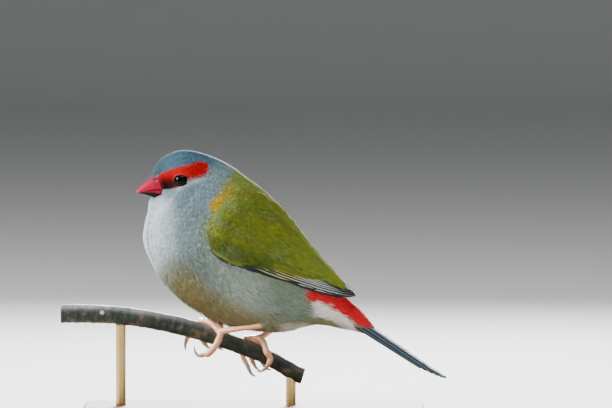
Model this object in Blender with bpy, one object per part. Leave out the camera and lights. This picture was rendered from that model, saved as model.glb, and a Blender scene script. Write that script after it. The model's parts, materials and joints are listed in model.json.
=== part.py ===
"""Red-browed finch gripping a cut length of branch on a display stand, life size.

Metres, +Z up.  The bird looks towards -X and its left side is at -Y.
Lists are in millimetres; MM turns them into metres where a mesh is made.
"""

from math import atan2, cos, pi, radians, sin, sqrt, tan

import bmesh
import bpy
import numpy as np

MM = 0.001
GAP = 0.3  # clear distance between two parts that meet

for old in list(bpy.data.objects):
    bpy.data.objects.remove(old, do_unlink=True)


# The body from the bill to the end of the tail coverts.  Each row crosses it:
# top (x, z), bottom (x, z), half width, height of the widest point, bow backwards.
BODY = [
    ((-30.7, 77.2), (-28.7, 69.3), 3.9, 0.50, 1.1),  # bill base
    ((-29.0, 80.3), (-31.2, 67.9), 5.4, 0.50, 4.2),  # brow
    ((-25.8, 82.8), (-31.9, 64.4), 6.9, 0.52, 4.4),  # eye
    ((-21.0, 84.0), (-32.8, 60.7), 8.2, 0.52, 3.5),  # crown
    ((-14.2, 82.5), (-33.2, 56.2), 9.8, 0.50, 2.0),  # nape
    ((-6.6, 78.8), (-31.7, 51.1), 12.4, 0.48, 0.8),  # shoulder
    ((2.6, 72.4), (-27.0, 43.2), 15.4, 0.47, 0.0),  # mantle
    ((9.6, 65.2), (-17.5, 35.0), 16.2, 0.46, 0.0),  # back
    ((15.1, 56.5), (-5.6, 29.9), 14.6, 0.46, 0.0),  # loin
    ((20.9, 47.3), (6.6, 28.4), 10.8, 0.48, 0.0),  # rump
    ((27.0, 40.3), (18.2, 30.4), 6.8, 0.50, 0.0),  # vent
    ((33.4, 34.6), (27.6, 29.0), 4.6, 0.50, 0.0),  # tail root
    ((39.4, 29.0), (37.2, 25.8), 3.2, 0.50, 0.0),  # end of the tail coverts
]
# The bed that the folded wings lie on: the body, but fuller over the rump.
WING_BED = BODY[:8] + [
    ((16.0, 57.8), (-5.6, 29.9), 14.8, 0.46, 0.0),
    ((22.4, 49.6), (6.6, 28.4), 11.4, 0.49, 0.0),
    ((29.2, 42.6), (18.2, 30.4), 7.8, 0.52, 0.0),
    ((36.0, 37.0), (27.6, 29.0), 5.6, 0.52, 0.0),
    ((42.0, 32.4), (37.2, 25.8), 4.4, 0.50, 0.0),
]
ROUNDNESS = 0.92
HEAD_TURN = radians(13.0)
TURN_AXIS = -14.0


def blend_rows(rows, s):
    """The row at position s along the body, by Catmull-Rom between the rows."""
    s = min(max(s, 0.0), len(rows) - 1.0)
    i = min(int(s), len(rows) - 2)
    t = s - i
    flat = [np.array([*r[0], *r[1], *r[2:]]) for r in rows]
    p1 = flat[i]
    p2 = flat[i + 1]
    p0 = flat[i - 1] if i > 0 else 2 * p1 - p2
    p3 = flat[i + 2] if i + 2 < len(flat) else 2 * p2 - p1
    return 0.5 * (
        2 * p1
        + (p2 - p0) * t
        + (2 * p0 - 5 * p1 + 4 * p2 - p3) * t * t
        + (3 * p1 - 3 * p2 + p3 - p0) * t**3
    )


def turned(point, s):
    """Turns the head towards the left side, fading out at the shoulders."""
    t = min(max((6.2 - s) / 3.0, 0.0), 1.0)
    angle = HEAD_TURN * t * t * (3 - 2 * t)
    dx = point[0] - TURN_AXIS
    return np.array(
        [
            TURN_AXIS + dx - point[1] * sin(angle),
            point[1] * cos(angle) + dx * tan(angle),
            point[2],
        ]
    )


def body_point(rows, s, a, grow=0.0):
    """Point at angle a round the body: 0 is the top, pi the bottom, 90 degrees the left side."""
    tx, tz, bx, bz, wide, high, bow = blend_rows(rows, s)
    up = abs(cos(a)) ** ROUNDNESS
    f = high + (1 - high) * up if cos(a) >= 0 else high - high * up
    c = 2 * f - 1
    long = sqrt((tx - bx) ** 2 + (tz - bz) ** 2)
    f = 0.5 + (f - 0.5) * (1 + 2 * grow / long)
    side = abs(sin(a)) ** ROUNDNESS
    x = bx + f * (tx - bx) + bow * (1 - c * c)
    y = -(wide + grow) * (side if sin(a) >= 0 else -side)
    z = bz + f * (tz - bz)
    return turned(np.array([x, y, z]), s)


def side_depth(rows, x, z):
    """(s, half width) of the body where the side view shows the point x, z."""

    def across(s):
        tx, tz, bx, bz, wide, high, bow = blend_rows(rows, s)
        f = (z - bz) / (tz - bz)
        c = 2 * f - 1
        return bx + f * (tx - bx) + bow * max(0.0, 1 - c * c), f, wide, high

    low, top = 0.0, len(rows) - 1.0
    for _ in range(34):
        mid = (low + top) / 2
        if across(mid)[0] < x:
            low = mid
        else:
            top = mid
    _, f, wide, high = across(low)
    f = min(max(f, 0.004), 0.996)
    up = (f - high) / (1 - high) if f > high else (high - f) / high
    up = min(up, 0.999) ** (1 / ROUNDNESS)
    return low, wide * sqrt(1 - up * up) ** ROUNDNESS


def on_side(rows, x, z, lift, side):
    """A point above the body's side where the side view shows x, z; side is -1 left, 1 right."""
    s, depth = side_depth(rows, x, z)
    step = 0.35
    slope_x = (side_depth(rows, x + step, z)[1] - side_depth(rows, x - step, z)[1]) / (2 * step)
    slope_z = (side_depth(rows, x, z + step)[1] - side_depth(rows, x, z - step)[1]) / (2 * step)
    normal = np.array([-slope_x, side, -slope_z])
    normal /= np.linalg.norm(normal)
    return turned(np.array([x, side * depth, z]) + lift * normal, s)


# Meshes.
def make(name, points, faces):
    """A closed mesh object from points in millimetres."""
    mesh = bpy.data.meshes.new(name)
    mesh.from_pydata([tuple(float(v) * MM for v in p) for p in points], [], faces)
    form = bmesh.new()
    form.from_mesh(mesh)
    bmesh.ops.triangulate(form, faces=[f for f in form.faces if len(f.verts) > 4])
    bmesh.ops.recalc_face_normals(form, faces=form.faces)
    form.to_mesh(mesh)
    form.free()
    obj = bpy.data.objects.new(name, mesh)
    bpy.context.scene.collection.objects.link(obj)
    return obj


def loft(name, rings):
    """Skin over rings of the same even count; the end caps are strips from side to side."""
    n = len(rings[0])
    points = [p for ring in rings for p in ring]
    faces = []
    for i in range(len(rings) - 1):
        for j in range(n):
            k = (j + 1) % n
            faces.append((i * n + j, i * n + k, (i + 1) * n + k, (i + 1) * n + j))
    for base in (0, (len(rings) - 1) * n):
        faces.append((base, base + 1, base + n - 1))
        for j in range(1, n // 2 - 1):
            faces.append((base + j, base + j + 1, base + n - j - 1, base + n - j))
        faces.append((base + n // 2 - 1, base + n // 2, base + n // 2 + 1))
    return make(name, points, faces)


def tube(name, path, radii, sides, flat=1.0):
    """A round tube through the points, with plane ends; flat squeezes it sideways."""
    path = [np.array(p, float) for p in path]
    rings = []
    across = np.array([0.0, 1.0, 0.0])
    for i, p in enumerate(path):
        along = path[min(i + 1, len(path) - 1)] - path[max(i - 1, 0)]
        along /= np.linalg.norm(along)
        if abs(across @ along) > 0.9:
            across = np.array([0.3, 0.1, 1.0])
        across = across - (across @ along) * along
        across /= np.linalg.norm(across)
        over = np.cross(along, across)
        rings.append(
            [
                p + radii[i] * (flat * sin(2 * pi * j / sides) * across + cos(2 * pi * j / sides) * over)
                for j in range(sides)
            ]
        )
    return loft(name, rings)


def ball(name, centre, radii, around=14, high=9, pole=(0, 0, 1)):
    """An egg-shaped closed form with its poles along the given direction."""
    pole = np.array(pole, float)
    pole /= np.linalg.norm(pole)
    side = np.cross(pole, [0.3, 0.2, 1.0] if abs(pole[2]) < 0.9 else [1.0, 0, 0])
    side /= np.linalg.norm(side)
    third = np.cross(pole, side)
    points = []
    for i in range(1, high):
        for j in range(around):
            a = pi * i / high
            b = 2 * pi * j / around
            d = cos(a) * pole + sin(a) * (cos(b) * side + sin(b) * third)
            points.append(np.array(centre) + d * np.array(radii))
    points.append(np.array(centre) + pole * np.array(radii))
    points.append(np.array(centre) - pole * np.array(radii))
    faces = []
    for i in range(high - 2):
        for j in range(around):
            k = (j + 1) % around
            faces.append((i * around + j, i * around + k, (i + 1) * around + k, (i + 1) * around + j))
    last = (high - 2) * around
    for j in range(around):
        k = (j + 1) % around
        faces.append((j, k, len(points) - 2))
        faces.append((last + j, last + k, len(points) - 1))
    return make(name, points, faces)


def plate(name, top, bottom):
    """A thin curved plate from two grids of points, cut into triangles alike on both faces."""
    rows = len(top)
    cols = len(top[0])
    points = [p for row in top for p in row] + [p for row in bottom for p in row]
    under = rows * cols
    faces = []
    for i in range(rows - 1):
        for j in range(cols - 1):
            a, b = i * cols + j, (i + 1) * cols + j
            for cut in ((a, b, b + 1), (a, b + 1, a + 1)):
                faces.append(cut)
                faces.append(tuple(under + v for v in reversed(cut)))
    edge = [(i * cols, (i + 1) * cols) for i in range(rows - 1)]
    edge += [((i + 1) * cols + cols - 1, i * cols + cols - 1) for i in range(rows - 1)]
    edge += [(j + 1, j) for j in range(cols - 1)]
    edge += [((rows - 1) * cols + j, (rows - 1) * cols + j + 1) for j in range(cols - 1)]
    for a, b in edge:
        faces.append((a, b, under + b))
        faces.append((a, under + b, under + a))
    return make(name, points, faces)


def keep_largest(obj):
    """Drops every closed surface but the largest, and merges points that coincide."""
    form = bmesh.new()
    form.from_mesh(obj.data)
    bmesh.ops.remove_doubles(form, verts=form.verts, dist=2e-6)
    bmesh.ops.dissolve_degenerate(form, dist=1e-6, edges=form.edges)
    bmesh.ops.triangulate(form, faces=form.faces)
    left = set(form.faces)
    shells = []
    while left:
        shell = {left.pop()}
        edge = list(shell)
        while edge:
            for e in edge.pop().edges:
                for f in e.link_faces:
                    if f in left:
                        left.remove(f)
                        shell.add(f)
                        edge.append(f)
        volume = sum(f.verts[0].co.dot(f.verts[1].co.cross(f.verts[2].co)) for f in shell)
        shells.append((abs(volume), shell))
    shells.sort(key=lambda entry: -entry[0])
    drop = [f for _, shell in shells[1:] for f in shell]
    bmesh.ops.delete(form, geom=drop, context="FACES")
    form.to_mesh(obj.data)
    form.free()


def combine(obj, others, operation):
    """One Boolean between an object and a collection of others, applied; the others go."""
    group = bpy.data.collections.new("pieces")
    bpy.context.scene.collection.children.link(group)
    for other in others:
        bpy.context.scene.collection.objects.unlink(other)
        group.objects.link(other)
    change = obj.modifiers.new("fuse", "BOOLEAN")
    change.operation = operation
    change.solver = "EXACT"
    change.operand_type = "COLLECTION"
    change.collection = group
    bpy.context.view_layer.update()
    graph = bpy.context.evaluated_depsgraph_get()
    mesh = bpy.data.meshes.new_from_object(obj.evaluated_get(graph))
    obj.modifiers.clear()
    obj.data = mesh
    for other in others:
        bpy.data.objects.remove(other, do_unlink=True)
    bpy.data.collections.remove(group)
    keep_largest(obj)
    return obj


# Head, neck, torso and the covered root of the tail: one form parted by thin plane cuts.
def body_rings(start, end, count, around, grow=0.0):
    steps = [start + (end - start) * i / (count - 1) for i in range(count)]
    rings = []
    for k, s in enumerate(steps):
        shift = GAP if k == 0 and start > 0 else 0.0
        back = np.array([0.0, 0.0, 0.0])
        if shift:
            tx, tz, bx, bz = blend_rows(BODY, s)[:4]
            along = np.array([tz - bz, 0.0, bx - tx])
            back = shift * along / np.linalg.norm(along)
        rings.append([body_point(BODY, s, 2 * pi * j / around, grow) + back for j in range(around)])
    return rings


head = loft("head", body_rings(0.0, 4.2, 13, 26))
loft("neck", body_rings(4.2, 5.3, 5, 26))
torso = loft("torso", body_rings(5.3, 10.0, 14, 26))
tail = loft("tail", body_rings(10.0, 12.0, 6, 16))


# Bill: the upper half hooks a little over the lower, and a 0.3 mm slit is the line of the mouth.
def face_front(z):
    """x of the face, before the turn, where the bill meets it at height z."""
    f = (z - BODY[0][1][1]) / (BODY[0][0][1] - BODY[0][1][1])
    c = min(max(2 * f - 1, -1.0), 1.0)
    return BODY[0][1][0] + f * (BODY[0][0][0] - BODY[0][1][0]) + BODY[0][4] * (1 - c * c)


def bill_half(name, rows, upper, around=14):
    """rows are (x, top z, bottom z, half width); x None follows the face."""
    rings = []
    for x, top, bottom, wide in rows:
        ring = []
        for j in range(around):
            a = 2 * pi * j / around
            y = -wide * sin(a)
            if upper:
                z = bottom + (top - bottom) * max(cos(a), 0.0) ** 0.9
                z += 0.08 * min(cos(a), 0.0)
            else:
                z = top - (top - bottom) * max(-cos(a), 0.0) ** 0.8
                z += 0.06 * max(cos(a), 0.0)
            here = face_front(z) - GAP if x is None else x
            ring.append(turned(np.array([here, y, z]), 0.0))
        rings.append(ring)
    return loft(name, rings)


bill_upper = bill_half(
    "bill_upper",
    [
        (None, 76.9, 72.3, 3.5),
        (-30.9, 76.45, 72.2, 2.95),
        (-31.9, 75.6, 72.0, 2.55),
        (-33.0, 74.5, 71.8, 2.05),
        (-34.0, 73.45, 71.55, 1.5),
        (-34.8, 72.55, 71.4, 1.05),
        (-35.4, 71.85, 71.2, 0.62),
        (-35.8, 71.4, 71.0, 0.25),
    ],
    True,
)
bill_half(
    "bill_lower",
    [
        (None, 71.75, 69.8, 3.0),
        (-30.7, 71.6, 69.6, 2.5),
        (-31.9, 71.4, 69.9, 2.15),
        (-33.1, 71.2, 70.25, 1.6),
        (-34.1, 71.0, 70.55, 1.0),
        (-34.8, 70.85, 70.7, 0.4),
    ],
    False,
)
nostrils = []
for side in (-1, 1):
    place = turned(np.array([-30.2, side * 2.2, 75.0]), 0.0)
    nostrils.append(ball(f"nostril_{side}", place, (0.6, 0.5, 0.35), 8, 6))
combine(bill_upper, nostrils, "DIFFERENCE")


# Eyes in their lids.
EYE = (-23.8, 74.9)
EYE_RADIUS = 2.15
sockets = []
lids = []
for name, side in (("eye_left", -1), ("eye_right", 1)):
    s, depth = side_depth(BODY, *EYE)
    out = np.array([-0.30, side * 1.0, 0.10])
    out /= np.linalg.norm(out)
    centre = np.array([EYE[0], side * depth, EYE[1]]) - 1.05 * out
    axis = turned(centre + out, 0.0) - turned(centre, 0.0)
    axis /= np.linalg.norm(axis)
    centre = turned(centre, 0.0)
    ball(name, centre, (EYE_RADIUS,) * 3, 14, 9, axis)
    sockets.append(ball("socket", centre, (EYE_RADIUS + GAP,) * 3, 14, 9, axis))
    along = np.cross(axis, [0, 0, 1.0])
    along /= np.linalg.norm(along)
    rise = np.cross(along, axis)
    rise *= 1 if rise[2] > 0 else -1
    rim = []
    for j in range(16):
        a = 2 * pi * j / 16
        middle = centre + axis * 1.25 + along * 1.95 * cos(a) + rise * 1.5 * sin(a)
        outward = along * cos(a) + rise * sin(a)
        rim.append([middle + 0.55 * (cos(b) * outward + sin(b) * axis) for b in (0, pi / 3, 2 * pi / 3, pi, 4 * pi / 3, 5 * pi / 3)])
    points = [p for ring in rim for p in ring]
    faces = []
    for i in range(16):
        for j in range(6):
            k, m = (i + 1) % 16, (j + 1) % 6
            faces.append((i * 6 + j, k * 6 + j, k * 6 + m, i * 6 + m))
    lids.append(make("lid", points, faces))
combine(head, lids, "UNION")
combine(head, sockets, "DIFFERENCE")


# The branch, cut to a short length; the bird's feet close round it.
PERCH = [
    (-58.82, 34.0, 2.90),
    (-55.5, 34.0, 2.88),
    (-51.1, 34.0, 2.85),
    (-42.2, 33.65, 2.76),
    (-32.5, 32.35, 2.72),
    (-21.2, 30.0, 2.80),
    (-13.3, 27.5, 2.62),
    (-3.8, 24.0, 2.45),
    (3.2, 21.2, 2.35),
    (7.5, 18.9, 2.40),
    (15.1, 14.2, 2.50),
]


def perch_at(x):
    """(height of the branch's middle, its radius) at x."""
    xs = [p[0] for p in PERCH]
    return (float(np.interp(x, xs, [p[1] for p in PERCH])), float(np.interp(x, xs, [p[2] for p in PERCH])))


def perch_form(name, grow, sides, count):
    xs = np.linspace(PERCH[0][0] - (grow > 0) * 0.0, PERCH[-1][0], count)
    path = []
    radii = []
    for i, x in enumerate(xs):
        near = np.linspace(x - 3.0, x + 3.0, 7)
        z = float(np.mean([perch_at(v)[0] for v in near])) if 3 < x + 60 < 72 else perch_at(x)[0]
        path.append((x, 0.0, z))
        ripple = 0.0 if grow else 0.07 * sin(x * 1.9) * sin(x * 0.63 + 1.0)
        radii.append(perch_at(x)[1] + grow + ripple)
    return tube(name, path, radii, sides)


perch_form("perch", 0.0, 14, 36)


# Stand: a flat base and two short rods that end under the branch.
BASE = (104.0, 58.0, 6.0)
BASE_CORNER = 9.0


def base_outline(inset):
    ring = []
    for q, (cx, cy) in enumerate(((1, 1), (-1, 1), (-1, -1), (1, -1))):
        for j in range(6):
            a = pi / 2 * (q + j / 5)
            r = BASE_CORNER - inset
            ring.append(
                (
                    cx * (BASE[0] / 2 - BASE_CORNER) + r * cos(a),
                    cy * (BASE[1] / 2 - BASE_CORNER) + r * sin(a),
                )
            )
    return ring


rings = []
for inset, z in ((0.6, 0.0), (0.0, 0.6), (0.0, BASE[2] - 1.0), (0.3, BASE[2] - 0.3), (1.0, BASE[2])):
    rings.append([(x, y, z) for x, y in base_outline(inset)])
points = [p for ring in rings for p in ring]
count = len(rings[0])
faces = [tuple(range(count)), tuple(reversed(range(4 * count, 5 * count)))]
for i in range(4):
    for j in range(count):
        k = (j + 1) % count
        faces.append((i * count + j, i * count + k, (i + 1) * count + k, (i + 1) * count + j))
make("stand_base", points, faces)

for name, x, lean in (("stand_rod_front", -40.5, 0.0), ("stand_rod_rear", 11.4, 0.0)):
    top = perch_at(x)[0]
    rod = tube(name, [(x, 0, BASE[2] + GAP), (x, 0, top)], [1.5, 1.5], 14)
    combine(rod, [perch_form("room", GAP, 20, 60)], "DIFFERENCE")


# Legs.  A foot's toes are given from the root to the claw as (x, y, z).
def off_perch(p, thick):
    """Moves a point away from the branch until a toe of this thickness clears it."""
    p = np.array(p, float)
    for _ in range(6):
        z, radius = perch_at(p[0])
        slope = (perch_at(p[0] + 1.0)[0] - perch_at(p[0] - 1.0)[0]) / 2.0
        up = np.array([-slope, 0.0, 1.0]) / sqrt(1 + slope * slope)
        from_axis = p - np.array([p[0], 0.0, z])
        away = (from_axis @ up) * up + np.array([0.0, p[1], 0.0])
        far = np.linalg.norm(away)
        need = radius + 0.42 + thick
        if far >= need - 1e-3:
            return p
        p = p + away / far * (need - far)
    return p


def smooth_path(points, count):
    """Evenly spread points on a Catmull-Rom curve."""
    pts = [np.array(p, float) for p in points]
    pts = [2 * pts[0] - pts[1]] + pts + [2 * pts[-1] - pts[-2]]
    fine = []
    for i in range(1, len(pts) - 2):
        p0, p1, p2, p3 = pts[i - 1 : i + 3]
        for t in np.linspace(0, 1, 9)[:-1]:
            fine.append(
                0.5
                * (
                    2 * p1
                    + (p2 - p0) * t
                    + (2 * p0 - 5 * p1 + 4 * p2 - p3) * t * t
                    + (3 * p1 - 3 * p2 + p3 - p0) * t**3
                )
            )
    fine.append(pts[-2])
    far = np.concatenate([[0], np.cumsum([np.linalg.norm(b - a) for a, b in zip(fine, fine[1:])])])
    want = np.linspace(0, far[-1], count)
    return [np.array([np.interp(w, far, [p[k] for p in fine]) for k in range(3)]) for w in want]


LEGS = {
    "left": {
        "thigh": [(7.5, -6.4, 36.5), (5.4, -8.2, 33.2), (3.6, -9.2, 31.2)],
        "tarsus": [(3.0, -9.3, 30.9), (-3.2, -6.6, 29.9), (-8.9, -3.9, 28.9)],
        "pad": (-10.2, -3.0, 28.5),
        "toes": {
            "hind": ([(-10.0, -3.4, 28.0), (-10.6, -4.2, 26.2), (-11.8, -4.2, 24.1), (-13.3, -3.5, 22.3), (-14.7, -2.6, 21.6)], [1.0, 0.95, 0.95, 0.9, 0.75], [(-15.2, -2.4, 21.4), (-16.7, -2.1, 21.3), (-17.8, -2.0, 22.4), (-18.2, -2.0, 24.4)]),
            "outer": ([(-10.8, -2.6, 28.9), (-13.6, -1.2, 31.2), (-16.6, 1.2, 32.0), (-18.8, 3.2, 30.6), (-20.0, 3.9, 28.2), (-20.2, 3.6, 26.6)], [0.95, 0.9, 0.85, 0.85, 0.8, 0.7], [(-20.3, 3.5, 26.1), (-20.9, 3.0, 24.4), (-20.7, 2.2, 22.5)]),
            "middle": ([(-10.4, -2.2, 29.2), (-12.4, 0.2, 31.3), (-14.6, 2.6, 30.6), (-15.8, 4.0, 28.4), (-15.9, 3.9, 26.4), (-15.2, 3.2, 24.9)], [0.95, 0.9, 0.85, 0.85, 0.8, 0.7], [(-14.9, 2.9, 24.5), (-13.9, 1.7, 23.6), (-12.5, 0.5, 23.2)]),
            "inner": ([(-9.6, -2.4, 29.0), (-10.4, 0.6, 30.4), (-11.4, 3.0, 29.0), (-12.0, 4.2, 27.0), (-11.7, 3.8, 25.0)], [0.9, 0.85, 0.8, 0.8, 0.7], [(-11.5, 3.6, 24.6), (-10.5, 2.6, 23.3), (-9.1, 1.5, 22.8)]),
        },
    },
    "right": {
        "thigh": [(14.0, 6.0, 36.0), (11.8, 7.4, 33.0), (10.2, 8.2, 31.0)],
        "tarsus": [(9.6, 8.2, 30.6), (5.6, 4.6, 28.6), (2.6, 1.6, 26.9)],
        "pad": (1.6, 0.2, 26.4),
        "toes": {
            "hind": ([(2.0, -0.6, 26.2), (3.2, -2.8, 24.9), (4.0, -3.9, 22.6), (5.1, -3.3, 20.4), (4.6, -2.6, 18.6)], [1.0, 0.95, 0.95, 0.9, 0.75], [(4.4, -2.4, 18.1), (2.8, -1.9, 16.7), (0.7, -1.5, 16.4)]),
            "inner": ([(1.0, 0.6, 26.4), (-1.2, 1.6, 27.0), (-2.9, 2.9, 25.9), (-3.8, 3.7, 23.2), (-3.3, 3.4, 20.6), (-2.0, 2.8, 18.2)], [0.9, 0.85, 0.85, 0.8, 0.75, 0.7], [(-1.8, 2.7, 17.6), (-0.8, 2.3, 15.6), (1.0, 1.8, 14.5)]),
            "middle": ([(1.6, 1.0, 26.3), (0.6, 2.4, 26.0), (-0.6, 3.7, 24.2), (-1.1, 4.2, 21.8), (-0.5, 3.6, 19.4)], [0.95, 0.9, 0.85, 0.8, 0.7], [(-0.2, 3.4, 18.9), (0.8, 2.7, 17.2), (2.3, 2.0, 16.3)]),
            "outer": ([(2.4, 0.8, 26.0), (3.0, 2.6, 25.0), (2.4, 3.9, 23.0), (2.0, 4.0, 20.8), (2.6, 3.4, 19.0)], [0.9, 0.85, 0.8, 0.8, 0.7], [(2.9, 3.2, 18.5), (4.0, 2.4, 17.1), (5.6, 1.7, 16.5)]),
        },
    },
}

room_for_legs = []
for side, leg in LEGS.items():
    sign = -1 if side == "left" else 1
    thigh = tube(f"thigh_{side}", smooth_path(leg["thigh"], 6), [3.6, 3.1, 2.6, 2.1, 1.7, 1.35], 12)
    torso_room = loft("room", body_rings(5.3, 10.0, 14, 26, GAP))
    combine(thigh, [torso_room], "DIFFERENCE")
    ankle = [np.array(p) for p in leg["tarsus"]]
    way = (ankle[-1] - ankle[0]) / np.linalg.norm(ankle[-1] - ankle[0])
    path = path_leg = smooth_path([ankle[0], ankle[1], ankle[2]], 7)
    tube(f"tarsus_{side}", path, [1.25, 1.0, 0.88, 0.85, 0.86, 0.92, 1.0], 10)
    room_for_legs.append(tube("room", [ankle[0] - 1.0 * way] + path[1:-1] + [ankle[-1]], [1.7, 1.42, 1.32, 1.3, 1.32, 1.36, 1.4], 10))
    stub_from = ankle[-1] + GAP * way
    pad = np.array(leg["pad"])
    foot = tube(f"foot_{side}", [stub_from, 0.5 * (stub_from + pad) + 0.1 * way, pad], [1.02, 1.15, 1.2], 10)
    pieces = [ball("pad", off_perch(pad, 1.15), (1.5, 1.35, 1.2), 10, 7)]
    for toe, (path, radii, claw) in leg["toes"].items():
        path = [pad * 0.5 + np.array(path[0]) * 0.5] + [off_perch(p, r) for p, r in zip(path, radii)]
        radii = [radii[0]] + radii
        run = smooth_path(path, 11)
        thick = []
        for i, p in enumerate(run):
            r = float(np.interp(i / 10, np.linspace(0, 1, len(radii)), radii))
            thick.append(r * (1.0 + 0.07 * cos(i * 2.1)))
            run[i] = off_perch(p, thick[-1])
        pieces.append(tube("toe", run, thick, 8))
        if toe != "hind":
            room_for_legs.append(tube("room", run[:6], [r + GAP + 0.08 for r in thick[:6]], 8))
        claw = [off_perch(p, 0.5) for p in claw]
        start = run[-1] + (run[-1] - run[-2]) / np.linalg.norm(run[-1] - run[-2]) * GAP
        curve = [off_perch(p, 0.35) for p in smooth_path([start] + claw[1:], 6)]
        tube(f"claw_{side}_{toe}", curve, [0.62, 0.56, 0.46, 0.36, 0.24, 0.1], 8)
    combine(foot, pieces, "UNION")
    clear = tube("room", path_leg[:-1] + [ankle[-1] + 0.9 * GAP * way], [1.6, 1.32, 1.2, 1.17, 1.18, 1.24, 1.34], 10)
    combine(foot, [clear], "DIFFERENCE")
combine(torso, room_for_legs, "DIFFERENCE")


# Folded wings.  The chart is the side view: lower and upper edge as (x, z) from the wrist to the tip.
WING_LOW = [
    (-13.4, 61.6),
    (-13.9, 57.4),
    (-12.4, 53.6),
    (-9.0, 50.5),
    (-3.9, 48.7),
    (2.3, 47.2),
    (7.0, 45.5),
    (11.7, 43.9),
    (17.8, 42.0),
    (24.0, 40.5),
    (28.2, 39.5),
    (31.0, 38.8),
]
WING_HIGH = [(-13.2, 62.6), (-10.6, 66.2), (-6.6, 69.0), (-1.4, 69.8), (3.8, 67.4), (8.0, 64.0), (11.6, 60.4), (14.8, 56.8), (19.0, 52.0), (23.6, 47.0), (27.6, 42.4), (31.2, 39.3)]


def wing_form(name, side, low, high, rows):
    """The wing's body: a plate over the bed, thin at its edges."""
    top = []
    bottom = []
    for row in rows:
        line_top = []
        line_bottom = []
        for j in range(7):
            q = j / 6
            w = row * (len(WING_LOW) - 1)
            k = min(int(w), len(WING_LOW) - 2)
            t = w - k
            a = np.array(WING_LOW[k]) * (1 - t) + np.array(WING_LOW[k + 1]) * t
            b = np.array(WING_HIGH[k]) * (1 - t) + np.array(WING_HIGH[k + 1]) * t
            x, z = a + (b - a) * q
            edge = min(1.0, 0.25 + 3.5 * min(q, 1 - q)) * min(1.0, 0.3 + 5 * row)
            line_bottom.append(on_side(WING_BED, x, z, low, side))
            line_top.append(on_side(WING_BED, x, z, low + 0.35 + (high - low - 0.35) * edge, side))
        top.append(line_top)
        bottom.append(line_bottom)
    return plate(name, top, bottom)


def vane(side, root, tip, half, bend, lifts, under, shape, tilt=0.16):
    """One feather of the wing: root and tip in the side view, lifts of its face above the bed.

    shape is (share of the length, share of the half width) from root to tip; the lower
    edge stands proud of the feather below, and the upper edge dips under the next one.
    """
    root = np.array(root, float)
    tip = np.array(tip, float)
    along = tip - root
    upward = np.array([-along[1], along[0]]) / np.linalg.norm(along)
    top = []
    bottom = []
    for u, f in shape:
        mid = root + along * u + upward * bend * 4 * u * (1 - u)
        face = lifts[0] + (lifts[1] - lifts[0]) * u
        line_top = []
        line_bottom = []
        for q in (-1, 0, 1):
            x, z = mid + upward * half * f * q
            lift = face - tilt * q + 0.06 * (1 - q * q)
            line_top.append(on_side(WING_BED, x, z, lift, side))
            line_bottom.append(on_side(WING_BED, x, z, min(under - 0.08 * q, lift - 0.4), side))
        top.append(line_top)
        bottom.append(line_bottom)
    return plate("vane", top, bottom)


LONG = ((0.0, 0.55), (0.35, 0.9), (0.7, 1.0), (0.92, 0.72), (1.0, 0.2))
BROAD = ((0.0, 0.5), (0.4, 0.95), (0.8, 0.9), (1.0, 0.3))
PRIMARY_TIPS = [
    (30.8, 39.3),
    (31.5, 39.6),
    (31.0, 40.3),
    (29.4, 41.2),
    (27.4, 42.2),
    (25.4, 43.2),
    (23.5, 44.2),
    (21.7, 45.2),
    (20.0, 46.2),
]


def wing_vanes(side):
    vanes = []
    for k, tip in enumerate(PRIMARY_TIPS):
        root = (-5.6 + 1.15 * k, 52.1 + 0.42 * k)
        lift = 1.28 + 0.035 * k
        vanes.append(vane(side, root, tip, 1.75, -0.15 + 0.01 * k, (lift, lift), 0.72 - 0.02 * (k % 3), LONG))
    for k in range(6):
        root = (-4.4 + 0.9 * k, 53.6 + 1.5 * k)
        tip = (22.4 - 0.5 * k, 45.0 + 1.15 * k)
        lift = 1.62 + 0.04 * k
        vanes.append(vane(side, root, tip, 2.0, -0.2, (lift, lift), 0.80 - 0.02 * (k % 3), LONG))
    for k, (root, tip, half) in enumerate((((0.5, 60.6), (26.2, 43.6), 2.7), ((2.0, 63.0), (23.6, 47.0), 2.6), ((3.6, 65.0), (19.6, 51.6), 2.4))):
        vanes.append(vane(side, root, tip, half, 0.3, (1.95 + 0.1 * k, 1.9 + 0.1 * k), 0.85 + 0.03 * k, LONG))
    for k in range(8):
        tip = (-1.6 + 1.15 * k, 49.9 + 1.62 * k)
        root = (tip[0] - 8.6, tip[1] + 3.2)
        vanes.append(vane(side, root, tip, 1.5, -0.2, (1.75, 2.12 + 0.02 * (k % 2)), 0.78 + 0.03 * (k % 3), BROAD))
    for k in range(6):
        tip = (-6.2 + 1.25 * k, 52.2 + 2.05 * k)
        root = (tip[0] - 6.0, tip[1] + 2.2)
        vanes.append(vane(side, root, tip, 1.55, -0.1, (1.9, 2.45), 0.75 + 0.03 * (k % 3), BROAD))
    for root, tip in (((-8.0, 66.2), (4.6, 61.8)), ((-4.6, 68.0), (9.0, 61.4))):
        vanes.append(vane(side, root, tip, 2.5, 0.3, (1.9, 2.42), 0.82, BROAD))
    vanes.append(vane(side, (-13.0, 55.2), (-4.4, 49.9), 1.25, -0.4, (1.5, 1.9), 0.74, BROAD))
    return vanes


for name, side in (("wing_left", -1), ("wing_right", 1)):
    wing = wing_form(name, side, 0.42, 1.15, np.linspace(0, 0.94, 14))
    combine(wing, wing_vanes(side), "UNION")


# Tail: twelve feathers, the middle pair uppermost and longest.
TAIL_FROM = np.array([31.0, 0.0, 32.1])
TAIL_WAY = np.array([26.8, 0.0, -17.8])
TAIL_WAY /= np.linalg.norm(TAIL_WAY)
TAIL_UP = np.array([-TAIL_WAY[2], 0.0, TAIL_WAY[0]])
TAIL_LENGTHS = (33.0, 32.2, 30.8, 29.0, 27.0, 25.0)
TAIL_SHAPE = ((0.0, 1.5), (0.35, 2.1), (0.72, 2.5), (0.93, 1.8), (1.0, 0.5))


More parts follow.
